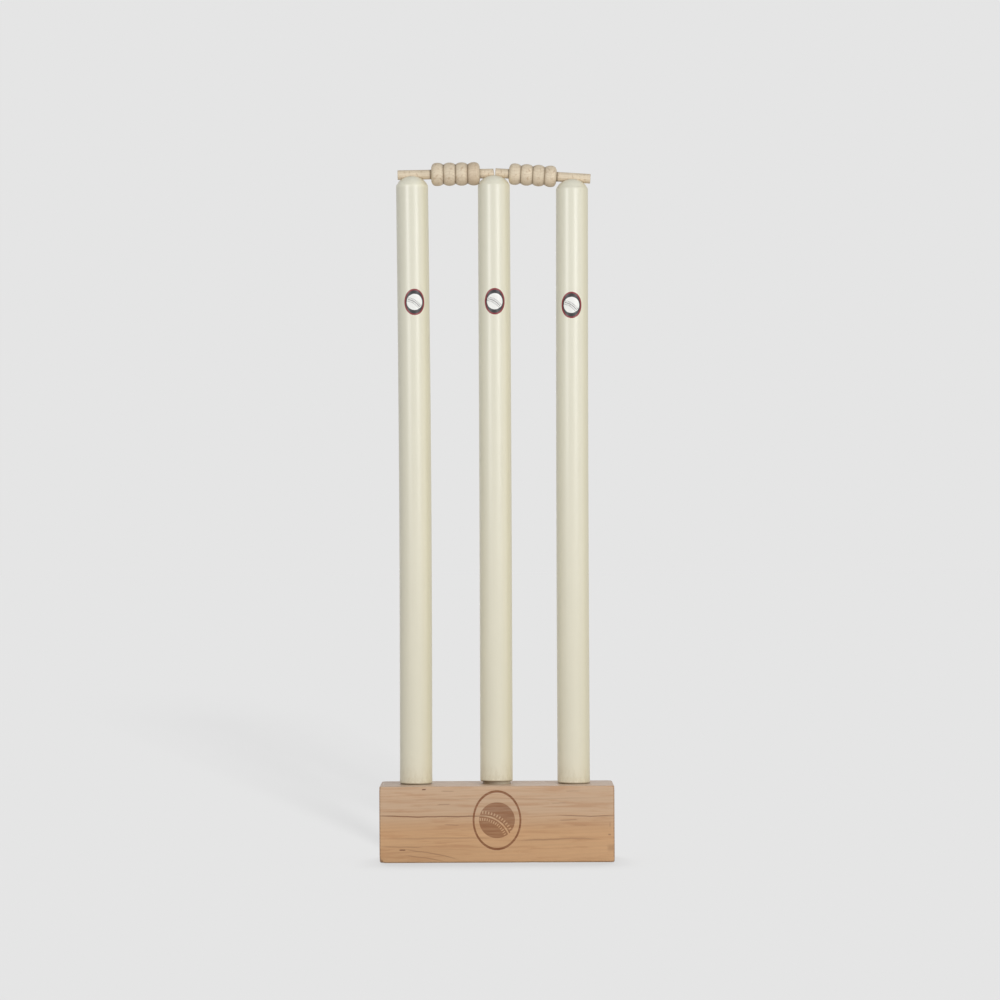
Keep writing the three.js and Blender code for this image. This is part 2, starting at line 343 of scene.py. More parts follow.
def object_place(wiring):
    """Where a point of a piece lies in the whole object, in millimetres."""
    coordinates = wiring.node("ShaderNodeTexCoord").outputs["Object"]
    return wiring.scaled(coordinates, 1 / MM)


def new_material(name):
    """A new material, with its wiring and its empty Principled shader."""
    material = bpy.data.materials.new(name)
    wiring = cleared(material)
    shader = wiring.node("ShaderNodeBsdfPrincipled")
    wiring.node("ShaderNodeOutputMaterial", {"Surface": shader.outputs[0]})
    return material, wiring, shader


def finish_shader(wiring, shader, colour_line, roughness, relief, relief_height, **constants):
    """Joins up a Principled shader and sets its constants. A relief of 1 stands out by relief_height."""
    bump = wiring.node("ShaderNodeBump", {"Height": relief, "Distance": relief_height, "Strength": 1.0})
    wiring.join(colour_line, shader.inputs["Base Color"])
    wiring.join(roughness, shader.inputs["Roughness"])
    wiring.join(bump.outputs[0], shader.inputs["Normal"])
    for name, value in constants.items():
        shader.inputs[name.replace("_", " ")].default_value = value


def ring_wood(wiring, place, radius_from_pith, ring_width, waver):
    """How far each point is into the dark late wood of its ring, 0 to 1."""
    wandering = wiring.noise(place, (0.004, 0.016, 0.016), detail=2.0) - 0.5
    ripple = wiring.noise(place, (0.03, 0.12, 0.12), detail=3.0) - 0.5
    phase = (radius_from_pith + wandering * waver + ripple * (waver * 0.12)) / ring_width
    step = phase.part()
    return step.rise(0.3, 0.93) * step.fall(0.94, 1.0)


def oval_ball_mark(wiring, across, up, half_width, half_height, line, ball, bow, seam):
    """The burnt mark: 1 where it is burnt. An oval ring round a ball with a stitched seam left pale."""
    soft_edge = 0.35
    ball_share = 0.8
    stitches_before = 100.0  # whole stitches, so that the count along the seam is never below zero
    oval = ((across / half_width).power(2.0) + (up / half_height).power(2.0)).root()
    edge = line / half_width
    ring = oval.rise(1.0 - edge * 1.15, 1.0 - edge) * oval.fall(1.0 - edge * 0.15, 1.0)
    reach = (across.power(2.0) + up.power(2.0)).root()
    disc = reach.fall(ball - soft_edge, ball)
    along = across * math.cos(SEAM_TILT) + up * math.sin(SEAM_TILT)
    away = up * math.cos(SEAM_TILT) - across * math.sin(SEAM_TILT)
    from_bow = (along.power(2.0) + (away + bow).power(2.0)).root() - bow
    off_seam = from_bow.size()
    middle_line = off_seam.fall(seam * 0.2, seam * 0.32)
    arc_place = wiring.sum_of("ARCTAN2", along, away + bow) * (bow / seam)
    beat = (arc_place + stitches_before).part()
    dash = beat.rise(0.08, 0.2) * beat.fall(0.45, 0.57)
    rows = off_seam.rise(seam * 0.75, seam * 0.9) * off_seam.fall(seam * 1.75, seam * 1.9)
    seam_mark = middle_line.above(dash * rows)
    return ring.above(disc * (1.0 - seam_mark) * ball_share)


# Dark strokes in the block's front, in millimetres from its middle and from the floor: the stroke's middle
# across and up, half its length, half its thickness, how much it rises to the right and how much it sags,
# and then how dark it is, from 0 to 1
FRONT_STROKES = (
    (-76.0, 55.4, 82.0, 1.2, -0.8, 1.7, 0.8),
    (106.0, 55.1, 40.0, 1.1, -0.4, 1.6, 0.6),
    (-122.0, 59.3, 16.0, 0.7, 0.0, 0.0, 0.25),
    (0.0, 74.8, 140.0, 0.7, 0.6, 0.8, 0.2),
    (-60.0, 28.0, 78.0, 1.8, 0.5, -0.8, 0.24),
    (-111.0, 19.2, 30.0, 1.0, 0.0, 0.5, 0.42),
    (-77.0, 9.4, 37.0, 1.1, -14.0, -2.0, 0.4),
    (-84.0, 4.8, 27.0, 1.1, -9.0, -1.4, 0.34),
    (70.0, 26.2, 52.0, 1.7, 2.4, -1.1, 0.42),
    (-75.0, 42.0, 90.0, 13.0, 0.0, 0.0, 0.1),
    (85.0, 42.0, 80.0, 13.0, 0.0, 0.0, 0.13),
    (-84.8, 85.4, 2.7, 1.2, 0.0, 0.0, 1.0),
    (-110.0, 15.1, 4.4, 1.2, 0.0, 0.0, 1.0),
    (-57.0, 83.0, 9.0, 1.0, 0.0, 0.0, 0.3),
    (-61.8, 67.6, 9.0, 1.0, 0.4, 0.0, 0.38),
    (-52.5, 44.0, 11.0, 1.2, -0.4, 0.0, 0.38),
    (83.2, 49.4, 13.0, 1.2, 0.5, 0.3, 0.42),
    (96.4, 43.0, 11.0, 1.1, 0.0, 0.0, 0.32),
    (72.0, 69.2, 11.0, 1.0, 0.0, 0.0, 0.28),
    (88.3, 82.6, 10.0, 0.9, 0.0, 0.0, 0.28),
    (131.3, 43.6, 0.8, 5.0, 0.0, 0.0, 0.4),
    (130.8, 32.3, 1.8, 1.5, 0.0, 0.0, 0.6),
    (134.8, 16.9, 8.0, 6.0, 0.0, 0.0, 0.3),
    # Painted shade: a dark mark in the dented bottom-left corner
    (-135.6, 1.6, 3.6, 3.4, 0.0, 0.0, 0.6),
)


def strokes_on_front(x, z):
    """How dark the grain lines, knots and flecks of the block's front are, 0 to 1."""
    found = None
    for across, up, half_length, half_thickness, rise, sag, strength in FRONT_STROKES:
        along = (x - across) / half_length
        line = along * (rise / 2) + along.power(2.0) * sag + (up - sag)
        near_line = ((z - line) / half_thickness).size().fall(0.1, 1.0)
        stroke = near_line * along.size().fall(0.5, 1.0) * strength
        found = stroke if found is None else found.above(stroke)
    return found


def bored_walls(x, y, z, sockets):
    """1 on the walls and the floor of each socket, and 0 elsewhere."""
    found = None
    for socket_x, radius, floor in sockets:
        away = ((x - socket_x / MM).power(2.0) + y.power(2.0)).root()
        within = away.fall(radius / MM + 0.02, radius / MM + 0.1)
        inside = within * z.rise(floor / MM - 2.0, floor / MM - 1.0)
        found = inside if found is None else found.above(inside)
    return found


def near_edges(x, y, z, half_length, half_depth, height):
    """1 on the block's edges, where two faces meet, and 0 where the faces are no longer rubbed."""
    rubbed_width, sharp_width = 2.6, 0.2
    near_y = y.size().rise(half_depth - rubbed_width, half_depth - sharp_width)
    near_z = (z - height / 2).size().rise(height / 2 - rubbed_width, height / 2 - sharp_width)
    near_x = x.size().rise(half_length - rubbed_width, half_length - sharp_width)
    return (near_y * near_z + near_z * near_x + near_x * near_y).below(1.0)


def block_wood(s, low, high, sockets):
    """Oiled, planed timber: rings about a pith, fibres, knots, end grain, bores and a burnt mark."""
    material, wiring, shader = new_material("oiled_block_wood")
    place = object_place(wiring)
    x, y, z = wiring.split(place)
    half_length = (high.x - low.x) / 2 / MM
    half_depth = (high.y - low.y) / 2 / MM
    height = high.z / MM

    # The pith lies behind and below, and runs a little askew
    pith_y, pith_z = 26.0, -34.0
    from_pith = ((y - pith_y + x * 0.03).power(2.0) + (z - pith_z - x * 0.012).power(2.0)).root()
    late = ring_wood(wiring, place, from_pith, ring_width=2.6, waver=5.0)
    broad = wiring.noise(place, (0.004, 0.04, 0.04), detail=2.0)
    streaks = wiring.noise(place, (0.013, 0.2, 0.2), detail=5.0, roughness=0.62, distortion=0.5)
    fibres = wiring.noise(place, (0.02, 1.3, 1.3), detail=4.0, roughness=0.7)
    pores = wiring.noise(place, (0.16, 3.2, 3.2), detail=2.0).rise(0.62, 0.72)

    front = y.fall(-half_depth + 0.6, -half_depth + 2.5)
    end = x.size().rise(half_length - 1.6, half_length - 0.5)
    top = z.rise(height - 0.9, height - 0.2)
    wander = (wiring.noise(place, (0.026, 0.0, 0.0), detail=3.0) - 0.5) * 3.2

    warm_below, pale_above = 34.0, 64.0
    wood = wiring.mix(z.fall(warm_below, pale_above) * 0.9, s.pale_wood, s.warm_wood)
    wood = wiring.mix(late * 0.08, wood, s.dark_wood)
    wood = wiring.mix(streaks.rise(0.46, 0.66) * 0.42, wood, s.streak_wood)
    level = (broad - 0.5) * 0.18 + (streaks - 0.5) * 0.1 + (fibres - 0.5) * 0.2 - pores * 0.05 + 1.0
    wood = wiring.tone(wood, level)
    broken = fibres.rise(0.3, 0.62) * 0.3 + 0.8
    wood = wiring.mix(strokes_on_front(x, z + wander) * front * broken, wood, s.knot_wood)
    # Painted reflection and dust: the top is mixed half way to a greyer wood, for the pale sky that a low
    # view sees in it
    wood = wiring.mix(top * 0.5, wood, s.top_dust_and_sheen_wood)
    # Painted shadow: the top darkens toward its left end, where the left stump's shadow falls
    shaded_left_of, unshaded_right_of = -118.0, -92.0
    wood = wiring.tone(wood, 1.0 - top * x.fall(shaded_left_of, unshaded_right_of) * 0.16)

    rays = wiring.noise(place, (0.0, 0.5, 0.5), detail=4.0, roughness=0.75)
    saw = wiring.noise(place, (0.0, 0.05, 1.4), detail=3.0, roughness=0.7)
    end_grain = wiring.mix(late * 0.5, s.end_wood, s.knot_wood)
    end_grain = wiring.tone(end_grain, (rays - 0.5) * 0.5 + (saw - 0.5) * 0.25 + 1.0)
    wood = wiring.mix(end, wood, end_grain)

    mark_height = 49.3
    mark = oval_ball_mark(
        wiring, x, z - mark_height, half_width=28.5, half_height=35.0, line=2.2, ball=21.0, bow=34.0,
        seam=3.1,
    )
    uneven = wiring.noise(place, (0.05, 0.6, 0.6), detail=3.0).rise(0.2, 0.75) * 0.3 + 0.7
    burn = mark * front * uneven
    wood = wiring.mix(burn, wood, s.burnt_wood)

    bored = bored_walls(x, y, z, sockets)
    cutter_rings = wiring.noise(place, (0.02, 0.02, 1.6), detail=2.0)
    bore_wood = wiring.tone(wood, (cutter_rings - 0.5) * 0.5 + 0.86)
    wood = wiring.mix(bored, wood, bore_wood)

    edge = near_edges(x, y, z, half_length, half_depth, height)
    rubbed = wiring.noise(place, (0.08, 0.5, 0.5), detail=4.0).rise(0.42, 0.62)
    wood = wiring.mix(edge * rubbed * 0.08, wood, s.grime_and_shade)
    # Painted contact shade and dirt: the lowest 2 mm of the block darken in patches where it stands on the
    # floor
    patchy = wiring.noise(place, (0.06, 0.3, 0.3), detail=4.0).rise(0.3, 0.6)
    wood = wiring.mix(z.fall(0.2, 2.0) * patchy * 0.2, wood, s.grime_and_shade)

    roughness = (streaks - 0.5) * 0.25 + end * 0.14 + bored * 0.2 + burn * 0.12 - top * 0.1 + 0.5
    relief = (fibres * 0.4 + streaks * 0.4 + late * 0.2 - pores * 0.5) * (1.0 - bored) - burn * 1.4
    relief = relief + (rays + saw) * end * 0.8 + cutter_rings * bored * 2.0
    finish_shader(wiring, shader, wood, roughness, relief, 0.07 * MM, IOR=1.46)
    return material


def stick_place(wiring):
    """A turned piece's own coordinates in millimetres, with its axis as the third."""
    place = wiring.scaled(wiring.attribute("stick_place", "Vector"), 1 / MM)
    return place, wiring.split(place)


def beech(wiring, place, axes, pale, dark, pith):
    """The colour of beech that runs along the stick, and its fibres, late wood and flecks."""
    x, y, _ = axes
    ring_width = 2.1
    from_pith = ((x - pith[0]).power(2.0) + (y - pith[1]).power(2.0)).root()
    wandering = (wiring.noise(place, (0.05, 0.05, 0.012), detail=2.0) - 0.5) * 3.0
    step = ((from_pith + wandering) / ring_width).part()
    late = step.rise(0.3, 0.92) * step.fall(0.93, 1.0)
    fibres = wiring.noise(place, (1.5, 1.5, 0.06), detail=4.0, roughness=0.65)
    patches = wiring.noise(place, (0.12, 0.12, 0.05), detail=2.0)
    flecks = wiring.noise(place, (2.6, 2.6, 0.42), detail=1.0).rise(0.66, 0.74)
    wood = wiring.mix(late * 0.16 + flecks * 0.4, pale, dark)
    wood = wiring.tone(wood, (fibres - 0.5) * 0.14 + (patches - 0.5) * 0.24 + 1.0)
    return wood, fibres, late, flecks


def bail_wood(s):
    """Bare turned beech: gouge rings, brown blotches, painted shade on the underside, a darker bead, and
    valleys darkened by dirt and painted shade.
    """
    material, wiring, shader = new_material("bare_turned_beech")
    place, axes = stick_place(wiring)
    wood, fibres, late, flecks = beech(
        wiring, place, axes, s.pale_beech, s.dark_beech, pith=(17.0, 6.0)
    )
    gouge = wiring.noise(place, (0.03, 0.03, 1.9), detail=4.0, roughness=0.7)
    wood = wiring.tone(wood, (gouge - 0.5) * 0.34 + 1.0)
    blotches = wiring.noise(place, (0.22, 0.22, 0.3), detail=4.0, roughness=0.6)
    wood = wiring.mix(blotches.rise(0.54, 0.7) * 0.5, wood, s.blotched_and_shaded_beech)
    _, _, facing_up = wiring.split(wiring.node("ShaderNodeNewGeometry").outputs["Normal"])
    # Painted shade: the surfaces that face down are mixed toward the blotch colour
    wood = wiring.mix(facing_up.fall(-0.9, 0.1) * 0.25, wood, s.blotched_and_shaded_beech)
    across, _, _ = wiring.split(object_place(wiring))
    # The darker bead is the left bail's last one before the middle stump
    bead_from, bead_to, fade = -36.0, -16.0, 4.0
    darker_bead = across.rise(bead_from, bead_from + fade) * across.fall(bead_to - fade, bead_to)
    wood = wiring.mix(darker_bead * 0.22, wood, s.blotched_and_shaded_beech)
    # Dirt and painted shade: the valleys, scribes and root hollows darken by the outline's shares
    grime_and_shade = wiring.attribute("grime_and_shade", "Fac")
    smudge = wiring.noise(place, (0.3, 0.3, 0.3), detail=4.0)
    dirt_and_shade = (grime_and_shade * 1.1 + (smudge - 0.5) * 0.35 * grime_and_shade).above(0.0)
    wood = wiring.mix(dirt_and_shade, wood, s.valley_shade_and_grime)
    relief = fibres * 0.4 + gouge * 1.3 + late * 0.2 - flecks * 0.2
    roughness = (smudge - 0.5) * 0.2 + flecks * -0.1 + 0.6
    finish_shader(wiring, shader, wood, roughness, relief, 0.06 * MM, IOR=1.45)
    return material


def stump_paint(s, wood_settings, crown):
    """Satin cream paint, painted paler on the dome, warmer down one side and toward the foot, and darker
    round the foot with wear and painted shade, with the tenon bare below the lap.
    """
    material, wiring, shader = new_material("cream_stump_paint")
    place, axes = stick_place(wiring)
    across, _, up = axes
    upper_height = 700.0
    mottling = wiring.noise(place, (0.05, 0.05, 0.012), detail=3.0)
    brushed = wiring.noise(place, (0.9, 0.9, 0.014), detail=3.0, roughness=0.6)
    # Painted light: the paint grows yellower toward the foot, for the warm light that the block bounces
    # onto it
    paint = wiring.mix(up.rise(0.0, upper_height), s.lower_paint, s.upper_paint)
    # Painted warm light: the paint turns yellower down the right side of each stump, toward the side lamp
    paint = wiring.mix(across.rise(4.0, 17.0) * 0.6, paint, s.warm_lit_paint)
    # Painted light: the dome is painted about a tenth paler, for the light that falls on it from above
    dome_below, rim_below = 11.5, 16.5  # millimetres under the crown
    dome_painted_light = up.rise(crown / MM - rim_below, crown / MM - dome_below) * 0.11
    paint = wiring.tone(paint, (mottling - 0.5) * 0.06 + (brushed - 0.5) * 0.035 + dome_painted_light + 1.0)
    # Painted contact shade: the paint darkens in the few millimetres over the shoulder, most on the left,
    # away from the key lamp
    shaded_side = across.fall(-12.0, 12.0) * 0.4 + 0.55
    paint = wiring.mix(up.fall(0.4, 2.4) * shaded_side, paint, wood_settings.valley_shade_and_grime)
    grime_and_shade = wiring.attribute("grime_and_shade", "Fac")
    rubbed = wiring.attribute("rubbed", "Fac")
    scuffs = wiring.noise(place, (0.35, 0.35, 0.12), detail=5.0, roughness=0.65)
    specks = wiring.noise(place, (1.3, 1.3, 0.5), detail=2.0).rise(0.74, 0.8) * 0.25
    # Wear, and painted contact shade from the dark shares at the foot, turn the paint to the worn colour
    wear_and_shade = grime_and_shade * scuffs.rise(0.4, 0.62) * 0.6 + rubbed * (scuffs.rise(0.35, 0.7) * 0.5 + 0.2) + specks
    paint = wiring.mix(wear_and_shade, paint, s.worn_and_shaded_paint)

    bare, fibres, _, _ = beech(
        wiring, place, axes, wood_settings.pale_beech, wood_settings.dark_beech, pith=(31.0, -12.0)
    )
    lap_edge = up + (wiring.noise(place, (0.25, 0.25, 0.1), detail=4.0) - 0.5) * 5.0
    painted = lap_edge.rise(-s.paint_lap / MM - 0.25, -s.paint_lap / MM + 0.25)
    surface = wiring.mix(painted, bare, paint)

    roughness = (mottling - 0.5) * 0.12 + wear_and_shade * 0.15 + (1.0 - painted) * 0.3 + 0.37
    relief = painted * (brushed * 0.8 + mottling * 0.5 + 0.6) + (1.0 - painted) * fibres * 0.8
    finish_shader(wiring, shader, surface, roughness, relief, 0.05 * MM, IOR=1.5)
    return material


def ink(name, tint):
    """Printed ink: one flat tint with a faint screen and worn specks."""
    material, wiring, shader = new_material(name)
    place = object_place(wiring)
    cloud = wiring.noise(place, (0.5, 0.5, 0.5), detail=4.0)
    grain = wiring.noise(place, (6.0, 6.0, 6.0), detail=1.0)
    level = (cloud - 0.5) * 0.12 + (grain - 0.5) * 0.1 + 1.0
    toned = wiring.tone(wiring.vector(*tint), level)
    roughness = (cloud - 0.5) * 0.2 + 0.42
    finish_shader(wiring, shader, toned, roughness, grain, 0.01 * MM, IOR=1.48)
    return material


def geometry_tree(name, sockets):
    """A new Geometry Nodes tree with named inputs, its wiring, and its inputs by name."""
    tree = bpy.data.node_groups.new(name, "GeometryNodeTree")
    tree.interface.new_socket("Geometry", in_out="INPUT", socket_type="NodeSocketGeometry")
    tree.interface.new_socket("Geometry", in_out="OUTPUT", socket_type="NodeSocketGeometry")
    for socket_name, kind in sockets.items():
        tree.interface.new_socket(socket_name, in_out="INPUT", socket_type="NodeSocket" + kind)
    wiring = Wiring(tree)
    group_input = wiring.node("NodeGroupInput")
    given = {name: wiring.line(group_input, name) for name in ("Geometry", *sockets)}
    return tree, wiring, given


def end_tree(wiring, geometry, finish=None):
    """Closes a tree: instances become real, the finish is set, and the result goes out."""
    real = wiring.node("GeometryNodeRealizeInstances", {"Geometry": geometry}).outputs[0]
    if finish is not None:
        real = wiring.node("GeometryNodeSetMaterial", {"Geometry": real, "Material": finish}).outputs[0]
    wiring.node("NodeGroupOutput", {"Geometry": real})


def with_attribute(wiring, geometry, name, value, kind):
    """The geometry with one more value kept at each of its points."""
    inputs = {"Geometry": geometry, "Name": name, "Value": value}
    node = wiring.node("GeometryNodeStoreNamedAttribute", inputs, data_type=kind, domain="POINT")
    return node.outputs[0]


def transformed(wiring, geometry, **changes):
    """The geometry shifted, turned or stretched."""
    return wiring.node("GeometryNodeTransform", {"Geometry": geometry, **changes}).outputs[0]


def stood(wiring, geometry, given):
    """What was made about an upright axis, put on its stick's foot with its stick's lean."""
    return transformed(wiring, geometry, Translation=given["Foot"], Rotation=given["Lean"])


def bowed(wiring, across, height, given):
    """How far across a point lies once its stick is warped, which shows most at half its height."""
    return across + given["Bow"] * wiring.sum_of("SINE", height / given["Crown"] * math.pi)


def lathe_tree():
    """Turns an outline about its axis, presses a groove across its top, and puts the stick in its place."""
    sockets = {
        "Turns": "Int", "Crown": "Float", "Groove Depth": "Float", "Groove Radius": "Float",
        "Groove Softness": "Float", "End Slant": "Float", "Bow": "Float", "Foot": "Vector",
        "Lean": "Rotation", "Finish": "Material",
    }
    slanted_length = 7 * MM
    rubbed_depth = 0.8 * MM
    tree, wiring, given = geometry_tree("Lathe", sockets)
    outline = given["Geometry"]
    counted = wiring.node("GeometryNodeAttributeDomainSize", {"Geometry": outline}, component="MESH")
    stations = wiring.line(counted, "Point Count")
    sheet_inputs = {
        "Size X": 1.0, "Size Y": 1.0, "Vertices X": stations, "Vertices Y": given["Turns"] + 1.0,
    }
    sheet = wiring.node("GeometryNodeMeshGrid", sheet_inputs).outputs["Mesh"]
    here = wiring.line(wiring.node("GeometryNodeInputPosition"))
    sheet_x, sheet_y, _ = wiring.split(here)
    station = wiring.sum_of("ROUND", (sheet_x + 0.5) * (stations - 1.0))
    turn = (sheet_y + 0.5) * (-2 * math.pi)
    on_outline = wiring.node(
        "GeometryNodeSampleIndex", {"Geometry": outline, "Value": here, "Index": station},
        data_type="FLOAT_VECTOR", domain="POINT",
    )
    radius, _, height = wiring.split(on_outline.outputs[0])
    # The outline's shares of darkening, for dirt, wear and painted shade
    dirt_and_shade = wiring.node("GeometryNodeInputNamedAttribute", {"Name": "grime_and_shade"}, data_type="FLOAT").outputs[0]
    sampled_dirt_and_shade = wiring.node(
        "GeometryNodeSampleIndex", {"Geometry": outline, "Value": dirt_and_shade, "Index": station},
        data_type="FLOAT", domain="POINT",
    )
    around_x = radius * wiring.sum_of("COSINE", turn)
    around_y = radius * wiring.sum_of("SINE", turn)
    groove = given["Groove Radius"]
    inside = (groove.power(2.0) - around_y.power(2.0)).above(0.0).root()
    pressed = given["Crown"] - given["Groove Depth"] + groove - inside
    grooved = wiring.sum_of("SMOOTH_MIN", height, pressed, given["Groove Softness"])
    cut = (height - grooved).rise(0.0, rubbed_depth)
    sheet = with_attribute(wiring, sheet, "grime_and_shade", sampled_dirt_and_shade.outputs[0], "FLOAT")
    sheet = with_attribute(wiring, sheet, "rubbed", cut, "FLOAT")
    slant = around_x * wiring.sum_of("TANGENT", given["End Slant"]) * grooved.fall(0.0, slanted_length)
    warped_x = bowed(wiring, around_x, grooved.above(0.0), given)
    stick_point = wiring.vector(warped_x, around_y, grooved + slant)
    stick = wiring.node("GeometryNodeSetPosition", {"Geometry": sheet, "Position": stick_point}).outputs[0]
    stick = wiring.node("GeometryNodeMergeByDistance", {"Geometry": stick, "Distance": MERGE_DISTANCE})
    stick = with_attribute(wiring, stick.outputs[0], "stick_place", here, "FLOAT_VECTOR")
    end_tree(wiring, stood(wiring, stick, given), given["Finish"])
    return tree


def badge_tree():
    """A printed oval with a stitched ball, laid flat in thin layers and then bent round a stump."""
    sockets = {
        "Width": "Float", "Height": "Float", "Rim Width": "Float", "Ball Diameter": "Float",
        "Seam Bow": "Float", "Seam Gap": "Float", "Seam Width": "Float", "Stitch Length": "Float",
        "Stitch Width": "Float", "Stitches": "Int", "Layer": "Float", "Stick Radius": "Float",
        "Turn": "Float", "Up": "Float", "Crown": "Float", "Bow": "Float", "Foot": "Vector",
        "Lean": "Rotation",
        "Rim Ink": "Material", "Field Ink": "Material", "Ball Ink": "Material", "Seam Ink": "Material",
    }
    tree, wiring, given = geometry_tree("Printed badge", sockets)
    layer = given["Layer"]
    sunk = layer * 3.0  # how far a layer goes into the paint, so that no gap shows under it
    facets = 96
    face_rings = 10

    def inked(mesh, ink_name):
        inputs = {"Geometry": mesh, "Material": given[ink_name]}
        return wiring.node("GeometryNodeSetMaterial", inputs).outputs[0]

    def disc(diameter, stretch, top):
        depth = top + sunk
        inputs = {
            "Vertices": facets, "Fill Segments": face_rings, "Radius": diameter * 0.5, "Depth": depth,
        }
        mesh = wiring.node("GeometryNodeMeshCylinder", inputs, fill_type="TRIANGLE_FAN").outputs[0]
        lift = wiring.vector(0.0, 0.0, (top - sunk) * 0.5)
        return transformed(wiring, mesh, Translation=lift, Scale=wiring.vector(1.0, stretch, 1.0))

    def band(curve, width, top):
        depth = top + sunk
        section_inputs = {"Width": width, "Height": depth}
        section = wiring.node("GeometryNodeCurvePrimitiveQuadrilateral", section_inputs).outputs[0]
        mesh_inputs = {"Curve": curve, "Profile Curve": section, "Fill Caps": True}
        mesh = wiring.node("GeometryNodeCurveToMesh", mesh_inputs).outputs[0]
        return transformed(wiring, mesh, Translation=wiring.vector(0.0, 0.0, (top - sunk) * 0.5))

    stretch = given["Height"] / given["Width"]
    under_rim_share = 0.98
    field = inked(disc(given["Width"] * under_rim_share, stretch, layer), "Field Ink")
    rim_middle = given["Width"] - given["Rim Width"]
    circle_inputs = {"Resolution": facets, "Radius": rim_middle * 0.5}
    circle = wiring.node("GeometryNodeCurvePrimitiveCircle", circle_inputs).outputs[0]
    rim_stretch = wiring.vector(1.0, (given["Height"] - given["Rim Width"]) / rim_middle, 1.0)
    oval = transformed(wiring, circle, Scale=rim_stretch)
    rim = inked(band(oval, given["Rim Width"], layer * 2.0), "Rim Ink")
    ball = inked(disc(given["Ball Diameter"], 1.0, layer * 2.0), "Ball Ink")

    bow = given["Seam Bow"]
    arc_points = 25
    sweep_share = 0.9
    stitch_slope = 0.35  # radians that a stitch leans off the square to the seam
    parts = [field, rim, ball]
    for row in (-1, 0, 1):
        arc_radius = bow + given["Seam Gap"] * float(row)
        sweep = given["Ball Diameter"] / arc_radius * sweep_share
        arc_inputs = {
            "Resolution": arc_points, "Radius": arc_radius, "Start Angle": sweep * -0.5 + math.pi / 2,
            "Sweep Angle": sweep,
        }
        arc = wiring.node("GeometryNodeCurveArc", arc_inputs).outputs[0]
        arc = transformed(wiring, arc, Translation=wiring.vector(0.0, bow * -1.0, 0.0))
        arc = transformed(wiring, arc, Rotation=(0.0, 0.0, SEAM_TILT))
        if row == 0:
            parts.append(inked(band(arc, given["Seam Width"], layer * 3.0), "Seam Ink"))
            continue
        point_inputs = {"Curve": arc, "Count": given["Stitches"]}
        points = wiring.node("GeometryNodeCurveToPoints", point_inputs, mode="COUNT")
        depth = layer * 3.0 + sunk
        stitch_size = wiring.vector(given["Stitch Length"], given["Stitch Width"], depth)
        stitch = wiring.node("GeometryNodeMeshCube", {"Size": stitch_size}).outputs[0]
        lean = wiring.sum_of("ARCTAN2", *reversed(wiring.split(points.outputs["Tangent"])[:2]))
        turned = wiring.vector(0.0, 0.0, lean + (math.pi / 2 - stitch_slope * row))
        row_inputs = {"Points": points.outputs[0], "Instance": stitch, "Rotation": turned}
        row_mesh = wiring.node("GeometryNodeInstanceOnPoints", row_inputs).outputs[0]
        row_mesh = wiring.node("GeometryNodeRealizeInstances", {"Geometry": row_mesh}).outputs[0]
        parts.append(inked(row_mesh, "Seam Ink"))

    joined = wiring.node("GeometryNodeJoinGeometry")
    for part in reversed(parts):
        wiring.tree.links.new(part, joined.inputs[0])
    across, up, out = wiring.split(wiring.node("GeometryNodeInputPosition").outputs[0])
    around = across / given["Stick Radius"] + given["Turn"]
    reach = given["Stick Radius"] + out
    height = given["Up"] + up
    bent_x = bowed(wiring, reach * wiring.sum_of("SINE", around), height, given)
    bent = wiring.vector(bent_x, reach * wiring.sum_of("COSINE", around) * -1.0, height)
    wrapped = wiring.node("GeometryNodeSetPosition", {"Geometry": joined.outputs[0], "Position": bent})
    end_tree(wiring, stood(wiring, wrapped.outputs[0], given))
    return tree


def link(made):
    bpy.context.scene.collection.objects.link(made)
    return made


def grown(made, tree, values):
    """Runs a node tree on an object and keeps the result as its plain mesh."""
    modifier = made.modifiers.new(tree.name, "NODES")
    modifier.node_group = tree
    for item in tree.interface.items_tree:
        if item.item_type == "SOCKET" and item.in_out == "INPUT" and item.name in values:
            modifier[item.identifier] = values[item.name]
    return plain_mesh(made)


def plain_mesh(made):
    """Takes what the object's modifiers make as its mesh, and removes the modifiers."""
    depsgraph = bpy.context.evaluated_depsgraph_get()
    evaluated = made.evaluated_get(depsgraph)
    mesh = bpy.data.meshes.new_from_object(evaluated, preserve_all_data_layers=True, depsgraph=depsgraph)
    made.modifiers.clear()
    first = made.data
    made.data = mesh
    bpy.data.meshes.remove(first)
    mesh.name = made.name
    mesh.shade_smooth()
    mesh.set_sharp_from_angle(angle=SMOOTH_ANGLE)
    return made


def outline_object(name, stations):
    """The stations of a half outline as loose points, each a radius, a height and a share of darkening for
    dirt, wear and painted shade.
    """
    mesh = bpy.data.meshes.new(name)
    mesh.from_pydata([(radius, 0.0, height) for radius, height, _ in stations], [], [])
    grime_and_shade = mesh.attributes.new("grime_and_shade", "FLOAT", "POINT")
    grime_and_shade.data.foreach_set("value", [share for _, _, share in stations])
    return link(bpy.data.objects.new(name, mesh))


def quarter_turn(start, end, steps, upright_first, grime_and_shade):
    """Stations on a quarter of an ellipse, without the first. upright_first sets off along the stick."""
    stations = []
    for step in range(1, steps + 1):
        turn = step / steps * math.pi / 2
        early, late = 1 - math.cos(turn), math.sin(turn)
        across, along = (early, late) if upright_first else (late, early)
        radius = start[0] + (end[0] - start[0]) * across
        stations.append((radius, start[1] + (end[1] - start[1]) * along, grime_and_shade))
    return stations


def straight(start, end, steps, grime_and_shade):
    """Stations on a straight line, without the first one."""
    shares = [step / steps for step in range(1, steps + 1)]
    return [
        (start[0] + (end[0] - start[0]) * share, start[1] + (end[1] - start[1]) * share, grime_and_shade)
        for share in shares
    ]


